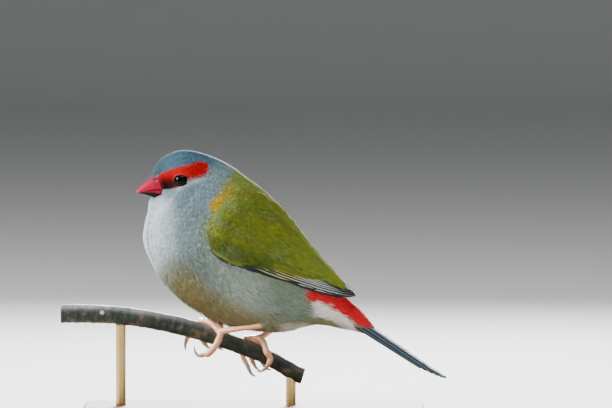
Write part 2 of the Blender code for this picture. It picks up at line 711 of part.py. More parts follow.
def tail_feather(k, sign):
    """Feather pair k counted from the middle; each lies under the one inside it."""
    length = TAIL_LENGTHS[k]
    splay = radians(0.25 + 0.35 * k) * sign
    drop = 0.48 * k + (0.14 if sign < 0 else 0.0) - 1.3
    top = []
    bottom = []
    for u, half in TAIL_SHAPE:
        out = sign * (0.8 + 0.22 * k) + sin(splay) * length * u
        mid = TAIL_FROM + TAIL_WAY * length * u + np.array([0, out, 0]) - TAIL_UP * drop * (1 - 0.35 * u)
        thick = 0.6 - 0.2 * u
        line_top = []
        line_bottom = []
        for q in (-1, 0, 1):
            place = mid + np.array([0, half * q, 0]) - TAIL_UP * (0.28 * q * q + 0.14 * q * sign)
            line_top.append(place)
            line_bottom.append(place - TAIL_UP * thick)
        top.append(line_top)
        bottom.append(line_bottom)
    return plate("vane", top, bottom)


combine(tail, [tail_feather(k, sign) for k in range(6) for sign in (-1, 1)], "UNION")
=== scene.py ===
import json
from math import atan2, cos, pi, prod, radians, sin, sqrt

import bmesh
import bpy
import numpy as np
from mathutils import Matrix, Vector, noise

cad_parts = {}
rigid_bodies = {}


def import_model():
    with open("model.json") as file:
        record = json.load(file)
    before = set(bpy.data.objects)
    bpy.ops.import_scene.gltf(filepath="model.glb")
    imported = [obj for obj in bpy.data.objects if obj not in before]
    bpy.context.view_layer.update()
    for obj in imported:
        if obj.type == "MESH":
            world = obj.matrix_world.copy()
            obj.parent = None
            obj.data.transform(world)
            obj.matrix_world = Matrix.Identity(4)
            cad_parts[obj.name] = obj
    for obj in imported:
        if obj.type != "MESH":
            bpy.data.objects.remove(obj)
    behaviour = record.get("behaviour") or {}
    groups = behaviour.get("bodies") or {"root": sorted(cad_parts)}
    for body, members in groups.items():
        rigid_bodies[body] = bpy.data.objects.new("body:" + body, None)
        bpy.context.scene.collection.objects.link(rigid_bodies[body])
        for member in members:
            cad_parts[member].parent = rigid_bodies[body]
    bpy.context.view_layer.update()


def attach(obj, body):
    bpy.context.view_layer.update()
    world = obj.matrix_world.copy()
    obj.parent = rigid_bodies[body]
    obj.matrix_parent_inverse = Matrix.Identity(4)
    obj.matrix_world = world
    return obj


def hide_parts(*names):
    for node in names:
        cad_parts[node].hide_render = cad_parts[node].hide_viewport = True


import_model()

# Skin of the bird, from the bill to the end of the tail coverts.
# One closed, smooth form under the feathers; every feather takes its place,
# its lie, its length and its colour from here.  Lists are in millimetres.
MM = 0.001
BODY = [
    # top (x, z), bottom (x, z), half width, widest height, bow backwards
    (-30.7, 77.2, -28.7, 69.3, 3.9, 0.50, 1.1),
    (-29.0, 80.3, -31.2, 67.9, 5.4, 0.50, 4.2),
    (-25.8, 82.8, -31.9, 64.4, 6.9, 0.52, 4.4),
    (-21.0, 84.0, -32.8, 60.7, 8.2, 0.52, 3.5),
    (-14.2, 82.5, -33.2, 56.2, 9.8, 0.50, 2.0),
    (-6.6, 78.8, -31.7, 51.1, 12.4, 0.48, 0.8),
    (2.6, 72.4, -27.0, 43.2, 15.4, 0.47, 0.0),
    (9.6, 65.2, -17.5, 35.0, 16.2, 0.46, 0.0),
    (15.1, 56.5, -5.6, 29.9, 14.6, 0.46, 0.0),
    (20.9, 47.3, 6.6, 28.4, 10.8, 0.48, 0.0),
    (27.0, 40.3, 18.2, 30.4, 6.8, 0.50, 0.0),
    (33.4, 34.6, 27.6, 29.0, 4.6, 0.50, 0.0),
    (39.4, 29.0, 37.2, 25.8, 3.2, 0.50, 0.0),
]
ROUNDNESS = 0.92
HEAD_TURN = radians(13.0)
TURN_AXIS = -14.0
NECK_END = 6.2
NECK_LENGTH = 3.0
LAST_STATION = 12.0


def curve_point(p0, p1, p2, p3, t):
    """A point between p1 and p2 on a Catmull-Rom curve."""
    bend = 2 * p0 - 5 * p1 + 4 * p2 - p3
    twist = 3 * p1 - 3 * p2 + p3 - p0
    return 0.5 * (2 * p1 + (p2 - p0) * t + bend * t * t + twist * t**3)


def spline_table(rows, count=1201):
    """The rows, drawn out into many by a Catmull-Rom spline."""
    rows = np.array(rows, float)
    ends = np.vstack([2 * rows[0] - rows[1], rows, 2 * rows[-1] - rows[-2]])
    table = []
    for s in np.linspace(0, len(rows) - 1, count):
        i = min(int(s), len(rows) - 2)
        table.append(curve_point(*ends[i : i + 4], s - i))
    return np.array(table)


def row_at(table, s):
    """The seven measures of the crossing at s, for an array of s."""
    place = np.linspace(0, LAST_STATION, len(table))
    return [np.interp(s, place, table[:, k]) for k in range(7)]


def head_angle(s):
    """The head's turn at station s, which fades out at the shoulders."""
    t = np.clip((NECK_END - s) / NECK_LENGTH, 0.0, 1.0)
    return HEAD_TURN * t * t * (3 - 2 * t)


def turned(x, y, z, s):
    """Points moved by the head's turn: it looks a little to its left."""
    angle = head_angle(s)
    dx = x - TURN_AXIS
    return np.stack([x - y * np.sin(angle), y * np.cos(angle) + dx * np.tan(angle), z + 0 * dx], -1)


def body_at(table, s, a, grow=0.0):
    """Points at angle a round the body (0 the top, pi / 2 the left side), before the turn."""
    tx, tz, bx, bz, wide, high, bow = row_at(table, s)
    up = np.abs(np.cos(a)) ** ROUNDNESS
    f = np.where(np.cos(a) >= 0, high + (1 - high) * up, high - high * up)
    bulge = bow * (1 - (2 * f - 1) ** 2)
    long = np.hypot(tx - bx, tz - bz)
    f = 0.5 + (f - 0.5) * (1 + 2 * grow / long)
    side = np.abs(np.sin(a)) ** ROUNDNESS * np.sign(np.sin(a))
    return bx + f * (tx - bx) + bulge, -(wide + grow) * side, bz + f * (tz - bz)


BODY_TABLE = spline_table(BODY)


def soft_step(low, high, value):
    """0 at low and 1 at high, easing in and out between them."""
    t = np.clip((value - low) / (high - low), 0.0, 1.0)
    return t * t * (3 - 2 * t)


def line_gap(line, x, z):
    """Distance of points from a line of straight steps in the side view, in mm."""
    near = np.full(np.shape(x), 1e9)
    for (ax, az), (bx, bz) in zip(line, line[1:]):
        along = np.array([bx - ax, bz - az])
        t = np.clip(((x - ax) * along[0] + (z - az) * along[1]) / (along @ along), 0, 1)
        near = np.minimum(near, np.hypot(x - ax - t * along[0], z - az - t * along[1]))
    return near


def inside(shape, x, z):
    """Signed depth of points inside an outline given in the side view, in mm."""
    shape = np.array(shape + shape[:1], float)
    odd = np.zeros(np.shape(x), bool)
    for (ax, az), (bx, bz) in zip(shape, shape[1:]):
        odd ^= ((az > z) != (bz > z)) & (x < (bx - ax) * (z - az) / (bz - az + 1e-9) + ax)
    near = line_gap(shape, x, z)
    return np.where(odd, near, -near)


# Markings: the red brow and lore, slate crown, pale throat, grey flanks, buff belly,
# olive back with a golden patch at the neck, and the red coverts over the tail.
# Some tones along the breast and flank are painted light and shade, as said where they are laid.
BROW = [
    (-28.9, 76.9), (-27.2, 77.6), (-25.9, 78.3), (-23.1, 79.1), (-20.6, 79.8), (-17.8, 80.2), (-16.4, 81.0),
    (-13.5, 80.6), (-13.1, 78.6), (-13.7, 76.9), (-16.4, 76.2), (-19.3, 75.4), (-20.6, 74.7), (-22.4, 73.0),
    (-24.2, 72.4), (-26.0, 71.9), (-27.8, 72.3), (-28.8, 74.5),
]
WING_LOW = [
    (-13.4, 61.6), (-13.9, 57.4), (-12.4, 53.6), (-9.0, 50.5), (-3.9, 48.7), (2.3, 47.2),
    (7.0, 45.5), (11.7, 43.9), (17.8, 42.0), (24.0, 40.5), (28.2, 39.5), (31.0, 38.8),
]
WING_HIGH = [
    (-13.2, 62.6), (-10.6, 66.2), (-6.6, 69.0), (-1.4, 69.8), (3.8, 67.4), (8.0, 64.0),
    (11.6, 60.4), (14.8, 56.8), (19.0, 52.0), (23.6, 47.0), (27.6, 42.4), (31.2, 39.3),
]
SLATE = (0.070, 0.150, 0.205)
FOREHEAD = (0.045, 0.090, 0.110)
NAPE = (0.200, 0.285, 0.285)
CHEEK = (0.175, 0.255, 0.300)
THROAT = (0.600, 0.680, 0.750)
BREAST = (0.190, 0.265, 0.285)
FLANK_FRONT = (0.165, 0.220, 0.200)
FLANK = (0.290, 0.345, 0.290)
FLANK_REAR = (0.180, 0.232, 0.178)
BUFF = (0.205, 0.160, 0.050)
VENT = (0.260, 0.250, 0.120)
WHITE = (0.850, 0.840, 0.800)
OLIVE = (0.205, 0.255, 0.045)
GOLD = (0.520, 0.320, 0.003)
RED = (0.560, 0.001, 0.002)
RED_DARK = (0.060, 0.000, 0.000)
RUMP = (0.640, 0.008, 0.016)
BREAST_PAINTED_SHADE = (0.130, 0.150, 0.095)
RED_REAR = (0.430, 0.001, 0.002)
LORE = (0.004, 0.0, 0.0)
UNDER_BROW = (0.50, 0.56, 0.60)
FLUFF = (0.62, 0.58, 0.44)
TAIL_ROOT = (0.010, 0.013, 0.015)
# The tones along the side are partly the bird's own and partly painted light: the throat and front of the
# breast are painted paler where the light falls, and the front of the flank darker in painted shade.
SIDE_TONES = [THROAT, THROAT, BREAST, FLANK_FRONT, FLANK, FLANK, FLANK_REAR, FLANK_REAR, VENT]
SIDE_PLACES = [-33, -28.5, -22, -15, -7, 1, 7, 15, 24]
# Edges of the markings in the side view: the places along one axis, then along the other.
CROWN_EDGE = (
    [-31.2, -28.9, -27.2, -25.9, -23.1, -20.6, -17.8, -13.5, -9.0],
    [75.0, 76.8, 77.5, 78.2, 79.0, 79.7, 80.2, 79.6, 78.2],
)
BACK_FRONT = ([55, 64.1, 65.9, 71.7, 74.8, 78, 84], [-16, -13.6, -13.0, -9.6, -7.8, -6.0, -4.0])
BACK_LOW = ([-16, -14, 2.3, 31], [60, 57, 46.5, 38.5])
RUMP_EDGE = ([15, 17.2, 22.7, 29.1, 34.0, 40], [40.0, 38.6, 37.4, 32.6, 30.3, 26.5])
BROW_LINE = ([-24.0, -21.4, -18.9, -14.3, -12.0], [71.6, 72.7, 74.2, 75.6, 76.0])
GOLD_FOOT = (-13.0, 65.9)
GOLD_WAY = (0.756, 0.654)


def gold_patch(seen, z):
    """Strength of the gold on the side of the neck: bright low down, fading softly upwards."""
    dx = seen - GOLD_FOOT[0]
    dz = z - GOLD_FOOT[1]
    along = GOLD_WAY[0] * dx + GOLD_WAY[1] * dz
    across = -GOLD_WAY[1] * dx + GOLD_WAY[0] * dz
    half = np.interp(along, [0, 5, 9], [1.5, 1.9, 3.2])
    band = soft_step(half + 0.9, half - 0.9, np.abs(across - 0.3)) * soft_step(0.0, 1.4, along)
    return band * np.interp(along, [0, 3.5, 5.5, 8, 12.5], [0.95, 0.95, 0.60, 0.36, 0.0])


def plumage(x, y, z, s):
    """Colour of the plumage at points of the body, before the head's turn."""
    seen = x + np.abs(y) * np.sin(head_angle(s))
    row = row_at(BODY_TABLE, s)
    high = np.clip((z - row[3]) / (row[1] - row[3]), 0.0, 1.0)
    colour = np.stack([np.interp(seen, SIDE_PLACES, [tone[k] for tone in SIDE_TONES]) for k in range(3)], -1)

    def lay(tone, *masks):
        for k in range(3):
            colour[..., k] += (tone[k] - colour[..., k]) * prod(masks)

    # Painted shade: the lower front of the breast is darkened.
    low = soft_step(57.0, 46.0, z)
    lay(BREAST_PAINTED_SHADE, 0.60, low, soft_step(-13.0, -19.0, seen), soft_step(-31.0, -27.0, seen))
    lay(BUFF, 0.85, soft_step(0.30, 0.10, high), soft_step(5.2, 6.6, s), soft_step(9.6, 8.6, s))
    lay(BUFF, 0.55, soft_step(0.34, 0.16, high), soft_step(8.8, 9.8, s))
    cheek_low = 69.9 - 0.38 * (seen + 27.0)
    lay(CHEEK, soft_step(-2.6, 2.6, z - cheek_low), soft_step(-30.5, -26.5, seen), soft_step(7.0, 5.6, s))
    lay(NAPE, soft_step(-14.0, -10.0, seen), soft_step(66, 70, z), soft_step(7.0, 5.6, s))
    crown = soft_step(-0.5, 0.6, z - np.interp(seen, *CROWN_EDGE)) * soft_step(6.0, 4.8, s)
    lay(SLATE, crown, soft_step(-8.0, -14.0, seen))
    lay(FOREHEAD, 0.8, crown, soft_step(-25.5, -29.0, seen))
    lay(
        OLIVE,
        soft_step(-1.3, 2.0, seen - np.interp(z, *BACK_FRONT)),
        soft_step(-1.5, 1.5, z - np.interp(seen, *BACK_LOW)),
    )
    lay(GOLD, gold_patch(seen, z))
    below = np.interp(seen, *RUMP_EDGE) - z
    white = soft_step(-0.4, 0.4, below) * soft_step(5.0, 3.8, below)
    white = white * soft_step(17.0, 19.0, seen) * soft_step(31.5, 29.5, seen)
    lay(WHITE, 0.95, white, soft_step(8.6, 9.2, s))
    lay(RUMP, soft_step(0.4, -0.2, below), soft_step(15.8, 17.0, seen), soft_step(7.5, 8.0, s))
    brow = soft_step(-0.20, 0.20, inside(BROW, seen, z)) * soft_step(5.4, 4.8, s)
    brow = brow * soft_step(0.8, 1.6, np.abs(y))
    lay(RED, brow)
    lay(RED_REAR, 0.7, brow, soft_step(-24.0, -14.5, seen))
    dusk = soft_step(-20.8, -22.8, seen) * soft_step(77.4, 74.0, z)
    lay(RED_DARK, 0.97, dusk, brow)
    lay(LORE, 0.94, soft_step(75.2, 72.6, z), soft_step(-22.4, -25.2, seen), brow)
    pale = soft_step(0.9, 0.3, np.abs(z - np.interp(seen, *BROW_LINE)))
    pale = pale * soft_step(-24.0, -22.0, seen) * soft_step(-13.0, -16.0, seen)
    lay(UNDER_BROW, 0.75, pale, 1 - brow, soft_step(5.4, 4.8, s))
    fluff = soft_step(0.20, 0.06, high) * soft_step(6.5, 8.5, seen) * soft_step(17.5, 15.0, seen)
    lay(FLUFF, 0.85, fluff, soft_step(7.2, 7.8, s))
    lay(TAIL_ROOT, soft_step(36.2, 37.0, seen))
    return np.clip(colour, 0.0, 1.0)


def unit(ways):
    """The same directions with length 1."""
    return ways / np.linalg.norm(ways, axis=-1, keepdims=True)


EYE = (-23.8, 74.9)
EYE_OPENING = (2.35, 1.80)
AROUND = 132
ALONG = 190
HEAD_RINGS = 90
HEAD_END = 4.5
SKIN_DEPTH = 0.7
CROWDING = 34.0
COVERTS_END = 32.6
HIDDEN_BY_WING = 2.6
LIFT = 0.13
STEP = 0.05
stations = np.concatenate([
    np.linspace(0.0, HEAD_END, HEAD_RINGS, endpoint=False),
    np.linspace(HEAD_END, LAST_STATION, ALONG - HEAD_RINGS),
])
angles = np.linspace(0, 2 * pi, AROUND, endpoint=False)
S, A = np.meshgrid(stations, angles, indexing="ij")
AHEAD = np.minimum(S + STEP, LAST_STATION)
BEHIND = np.maximum(S - STEP, 0.0)
sunk = np.interp(S, [0.0, 0.5, 2.0, 10.6, 11.2, 12.0], [0.45, 0.75, 1.0, 1.0, 1.5, 2.6])
sunk = -SKIN_DEPTH * sunk
spots = turned(*body_at(BODY_TABLE, S, A, sunk), S)
lie = turned(*body_at(BODY_TABLE, AHEAD, A, sunk), AHEAD)
lie = unit(lie - turned(*body_at(BODY_TABLE, BEHIND, A, sunk), BEHIND))
outer = body_at(BODY_TABLE, S, A, 0.0)
seen_x = outer[0]
coat_length = np.interp(
    S,
    [0, 0.5, 1.2, 2.5, 4, 5, 6.5, 8, 9.5, 10.5, 12],
    [0.8, 1.0, 1.25, 1.6, 2.2, 2.8, 3.6, 4.2, 4.4, 4.4, 2.6],
)
eye_far = np.hypot(seen_x - EYE[0], outer[2] - EYE[1])
coat_length *= np.where(S < 5, np.interp(eye_far, [1.8, 5.0], [0.5, 1.0]), 1.0)
crowd = CROWDING / coat_length**2
in_eye = ((seen_x - EYE[0]) / EYE_OPENING[0]) ** 2 + ((outer[2] - EYE[1]) / EYE_OPENING[1]) ** 2 < 1.0
crowd *= np.where(in_eye & (S < 5) & (np.abs(outer[1]) > 3.5), 0.0, 1.0)
high_up = np.clip(0.5 + 0.5 * np.cos(A), 0.0, 1.0)
coverts_end = COVERTS_END + 3.2 * high_up**1.5 + 0.5 * np.sin(A * 9) + 0.3 * np.sin(A * 23)
crowd *= np.where(seen_x < coverts_end, 1.0, 0.0)
wing_shape = WING_LOW + WING_HIGH[::-1]
under_wing = inside(wing_shape, seen_x, outer[2]) * (np.abs(outer[1]) > 2.5)
crowd *= np.where(under_wing > HIDDEN_BY_WING, 0.0, 1.0)
lift = LIFT + 0.20 * soft_step(-2.4, -0.2, under_wing) * soft_step(-4, -9, seen_x)


def mesh_of(name, points, faces):
    """A smooth mesh object at the origin from points in millimetres."""
    mesh = bpy.data.meshes.new(name)
    mesh.from_pydata((np.asarray(points, float) * MM).tolist(), [], faces)
    mesh.polygons.foreach_set("use_smooth", [True] * len(mesh.polygons))
    mesh.update()
    obj = bpy.data.objects.new(name, mesh)
    bpy.context.scene.collection.objects.link(obj)
    return obj


def outward(obj):
    """Turns the faces of a closed form outwards."""
    form = bmesh.new()
    form.from_mesh(obj.data)
    bmesh.ops.recalc_face_normals(form, faces=form.faces)
    form.to_mesh(obj.data)
    form.free()
    return obj


def bands(rings, around, back=0):
    """Four-sided faces between closed rings of points, the last of which may join the first."""
    faces = []
    for i in range(rings - 1 + back):
        m = (i + 1) % rings
        for j in range(around):
            k = (j + 1) % around
            faces.append((i * around + j, i * around + k, m * around + k, m * around + j))
    return faces


def ring_faces(rings, around):
    """Faces of a skin over closed rings, its ends filled from side to side."""
    faces = bands(rings, around)
    for base in (0, (rings - 1) * around):
        faces.append((base, base + 1, base + around - 1))
        for j in range(1, around // 2 - 1):
            faces.append((base + j, base + j + 1, base + around - j - 1, base + around - j))
        faces.append((base + around // 2 - 1, base + around // 2, base + around // 2 + 1))
    return faces


def paint(obj, name, values, kind="FLOAT_COLOR"):
    """Stores one value for each point of a mesh."""
    layer = obj.data.attributes.new(name, kind, "POINT")
    values = np.asarray(values, float)
    if kind == "FLOAT_COLOR":
        full = np.ones((len(values), 4))
        full[:, :3] = values
        layer.data.foreach_set("color", full.ravel())
    elif kind == "FLOAT_VECTOR":
        layer.data.foreach_set("vector", values.ravel())
    else:
        layer.data.foreach_set("value", values.ravel())


def corner_points(obj):
    """The number of the point at each face corner of a mesh."""
    corners = np.empty(len(obj.data.loops), int)
    obj.data.loops.foreach_get("vertex_index", corners)
    return corners


def unwrap(obj, name, places):
    """Stores a UV map that has one place for each face corner."""
    layer = obj.data.uv_layers.new(name=name)
    layer.data.foreach_set("uv", np.asarray(places, float).ravel())


CHART_BORDER = 0.04
CHART_SPAN = 0.92


def on_chart(*places):
    """Places between 0 and 1 on the skin's unwrap, kept off its border."""
    return np.stack([CHART_BORDER + CHART_SPAN * place for place in places], -1)


def feather_bed(obj, tones, lie, length, crowd, lift, station):
    """Paints what feathers read from the surface under them: lengths in mm, crowd in feathers per mm2."""
    count = len(obj.data.vertices)
    paint(obj, "plumage", np.broadcast_to(np.reshape(tones, (-1, 3)), (count, 3)))
    paint(obj, "lie", np.reshape(lie, (-1, 3)), "FLOAT_VECTOR")
    values = {"coat_length": length * MM, "crowd": crowd / (MM * MM), "lift": lift, "station": station}
    for name, value in values.items():
        paint(obj, name, np.broadcast_to(np.ravel(value), count), "FLOAT")


# A feather's tip shows, not its root, so each root takes the colour of where its tip ends.
straight = np.stack(body_at(BODY_TABLE, AHEAD, A), -1) - np.stack(body_at(BODY_TABLE, BEHIND, A), -1)
pace = np.linalg.norm(straight, axis=-1) / (2 * STEP)
reach = 0.60 * coat_length
tip = np.stack(outer, -1) + straight / (2 * STEP * pace[..., None]) * reach[..., None]
tone = plumage(tip[..., 0], tip[..., 1], tip[..., 2], S + reach / pace)

# The thighs swell the skin down to the heels, in feathers that lie down the leg.
THIGHS = (
    [(7.5, -6.4, 36.5), (5.5, -8.2, 33.2), (3.7, -9.2, 31.2)],
    [(14.0, 6.0, 36.0), (11.8, 7.4, 33.0), (10.0, 8.3, 30.8)],
)
THIGH_WAYS = (np.array([-0.55, -0.35, -0.75]), np.array([-0.50, 0.30, -0.80]))
round_way = np.roll(spots, -1, 1) - np.roll(spots, 1, 1)
normals = unit(np.cross(lie, round_way))
centre_line = spots.mean(axis=1, keepdims=True)
normals *= np.sign((normals * (spots - centre_line)).sum(-1, keepdims=True))
swell = np.zeros(S.shape)
for bones in THIGHS:
    for t in np.linspace(0, 1, 15):
        middle = np.array([np.interp(t * 2, [0, 1, 2], [b[k] for b in bones]) for k in range(3)])
        thick = np.interp(t, [0, 0.35, 0.7, 1], [3.6, 2.9, 2.1, 1.55])
        for out in np.linspace(0.2, 5.0, 25):
            within = np.linalg.norm(spots + normals * out - middle, axis=-1) < thick
            swell = np.where(within, np.maximum(swell, out), swell)
for _ in range(3):
    swell = 0.5 * swell + 0.25 * (np.roll(swell, 1, 1) + np.roll(swell, -1, 1))
    swell[1:-1] = 0.5 * swell[1:-1] + 0.25 * (swell[:-2] + swell[2:])
spots = spots + normals * swell[..., None]
down_leg = soft_step(0.3, 1.6, swell)
leg_way = np.where(spots[..., 1:2] < 0, *THIGH_WAYS)
lie = unit(lie * (1 - 0.8 * down_leg[..., None]) + 0.8 * leg_way * down_leg[..., None])
coat_length *= 1 - 0.45 * down_leg

skin = outward(mesh_of("bird_skin", spots.reshape(-1, 3), ring_faces(ALONG, AROUND)))
feather_bed(skin, tone, lie, coat_length, crowd, lift, S)
corners = corner_points(skin)
u = A.ravel()[corners] / (2 * pi)
v = S.ravel()[corners] / LAST_STATION
# A face across the seam keeps its corners together, but the fans that close the ends do not matter.
for face in skin.data.polygons:
    corners = list(face.loop_indices)
    if len(corners) == 4 and max(u[corners]) - min(u[corners]) > 0.5 and max(v[corners]) > min(v[corners]):
        for corner in corners:
            if u[corner] < 0.5:
                u[corner] += 1.0
unwrap(skin, "skin_uv", on_chart(u, v))


class Nodes:
    """Adds nodes to a tree; each call sets one node up, fills its sockets and gives its outputs."""

    def __init__(self, tree):
        self.tree = tree

    def fill(self, node, sockets):
        for socket, value in sockets.items():
            if isinstance(value, bpy.types.NodeSocket):
                self.tree.links.new(value, node.inputs[socket])
            else:
                node.inputs[socket].default_value = value

    def add(self, kind, sockets=None, **settings):
        node = self.tree.nodes.new(kind)
        for name, value in settings.items():
            setattr(node, name, value)
        self.fill(node, sockets or {})
        return node.outputs

    def math(self, operation, *values, **settings):
        return self.add("ShaderNodeMath", dict(enumerate(values)), operation=operation, **settings)["Value"]

    def attribute(self, name, output="Color"):
        return self.add("ShaderNodeAttribute", attribute_name=name)[output]

    def between(self, value, low, high, start=0.0, end=1.0):
        sockets = {"Value": value, "From Min": start, "From Max": end, "To Min": low, "To Max": high}
        return self.add("ShaderNodeMapRange", sockets)["Result"]

    def scaled(self, colour, strength):
        return self.add("ShaderNodeVectorMath", {0: colour, "Scale": strength}, operation="SCALE")["Vector"]

    def blend(self, factor, a, b, **settings):
        sockets = {"Factor": factor, "A": a, "B": b}
        return self.add("ShaderNodeMix", sockets, data_type="RGBA", **settings)["Result"]

    def ramp(self, factor, *stops):
        """A colour ramp from its stops, each a place and a colour."""
        outputs = self.add("ShaderNodeValToRGB", {"Fac": factor})
        elements = outputs[0].node.color_ramp.elements
        for element, (place, colour) in zip(elements, (stops[0], stops[-1])):
            element.position = place
            element.color = colour
        for place, colour in stops[1:-1]:
            elements.new(place).color = colour
        return outputs["Color"]


def new_material(name, roughness, **constants):
    """A material with a Principled shader whose constants sit on its own sockets."""
    material = bpy.data.materials.new(name)
    material.use_nodes = True
    nodes = Nodes(material.node_tree)
    shader = material.node_tree.nodes["Principled BSDF"]
    nodes.fill(shader, {"Roughness": roughness})
    nodes.fill(shader, {socket.replace("_", " "): value for socket, value in constants.items()})
    return material, nodes, shader


# Painted shade: the skin takes the plumage's own colour made darker, as the shade under the feathers.
painted_shade_under_feathers, nodes, shader = new_material("plumage in painted shade under the feathers", 0.85, Specular_IOR_Level=0.2)
darker = nodes.blend(1.0, nodes.attribute("plumage"), (0.62, 0.62, 0.62, 1.0), blend_type="MULTIPLY")
nodes.fill(shader, {"Base Color": darker})
skin.data.materials.append(painted_shade_under_feathers)
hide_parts("head", "neck", "torso", "thigh_left", "thigh_right")
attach(skin, "root")


# Body feathers.  Each is a small fan of barbs that lies along the body, rooted on
# the skin and a little longer than its spacing, so that the rows overlap like tiles.
BARBS = 7
VANE_WIDTH = 0.20
VANE_ARCH = 0.04
BARB_MIDDLE = 0.50
BARB_HALF = VANE_WIDTH * 2.1 / BARBS * 0.44
FEATHER_SHAPES = 6
# Share of the unwrap that one feather takes.
LEAF_PATCH = 0.003


def feather_shape(name, seed):
    """One feather of length 1 along +X with its face to +Z, made of closed tapered barbs."""
    rng = np.random.default_rng(seed)
    points = []
    faces = []
    leaf = []
    for b in range(BARBS):
        t = 2 * b / (BARBS - 1) - 1
        reach = (1.0 - 0.20 * t * t) * rng.uniform(0.66, 1.06)
        sway = rng.uniform(-0.05, 0.05)

        def place(w, dy=0.0, dz=0.0):
            y = t * VANE_WIDTH * (1 - (1 - w) ** 2) + sway * w
            z = VANE_ARCH * sin(pi * w * 0.8) - 0.05 * t * t * w + 0.012 * (b % 2) - 0.03 * (1 - w)
            return np.array([w * reach, y + dy, z + dz])

        first = len(points)
        points.append(place(0.0))
        for dy, dz in ((-BARB_HALF, 0.0), (BARB_HALF, 0.0), (0.0, 0.55 * BARB_HALF)):
            points.append(place(BARB_MIDDLE, dy, dz))
        points.append(place(1.0))
        leaf += [(0.0, 0.5 + 0.1 * t)] + [(BARB_MIDDLE, 0.5 + 0.45 * t)] * 3 + [(1.0, 0.5 + 0.45 * t)]
        for j in range(3):
            k = (j + 1) % 3
            faces.append((first, first + 1 + k, first + 1 + j))
            faces.append((first + 1 + j, first + 1 + k, first + 4))
    obj = outward(mesh_of(name, np.array(points) / MM, faces))
    unwrap(obj, "leaf", np.array(leaf)[corner_points(obj)])
    return obj


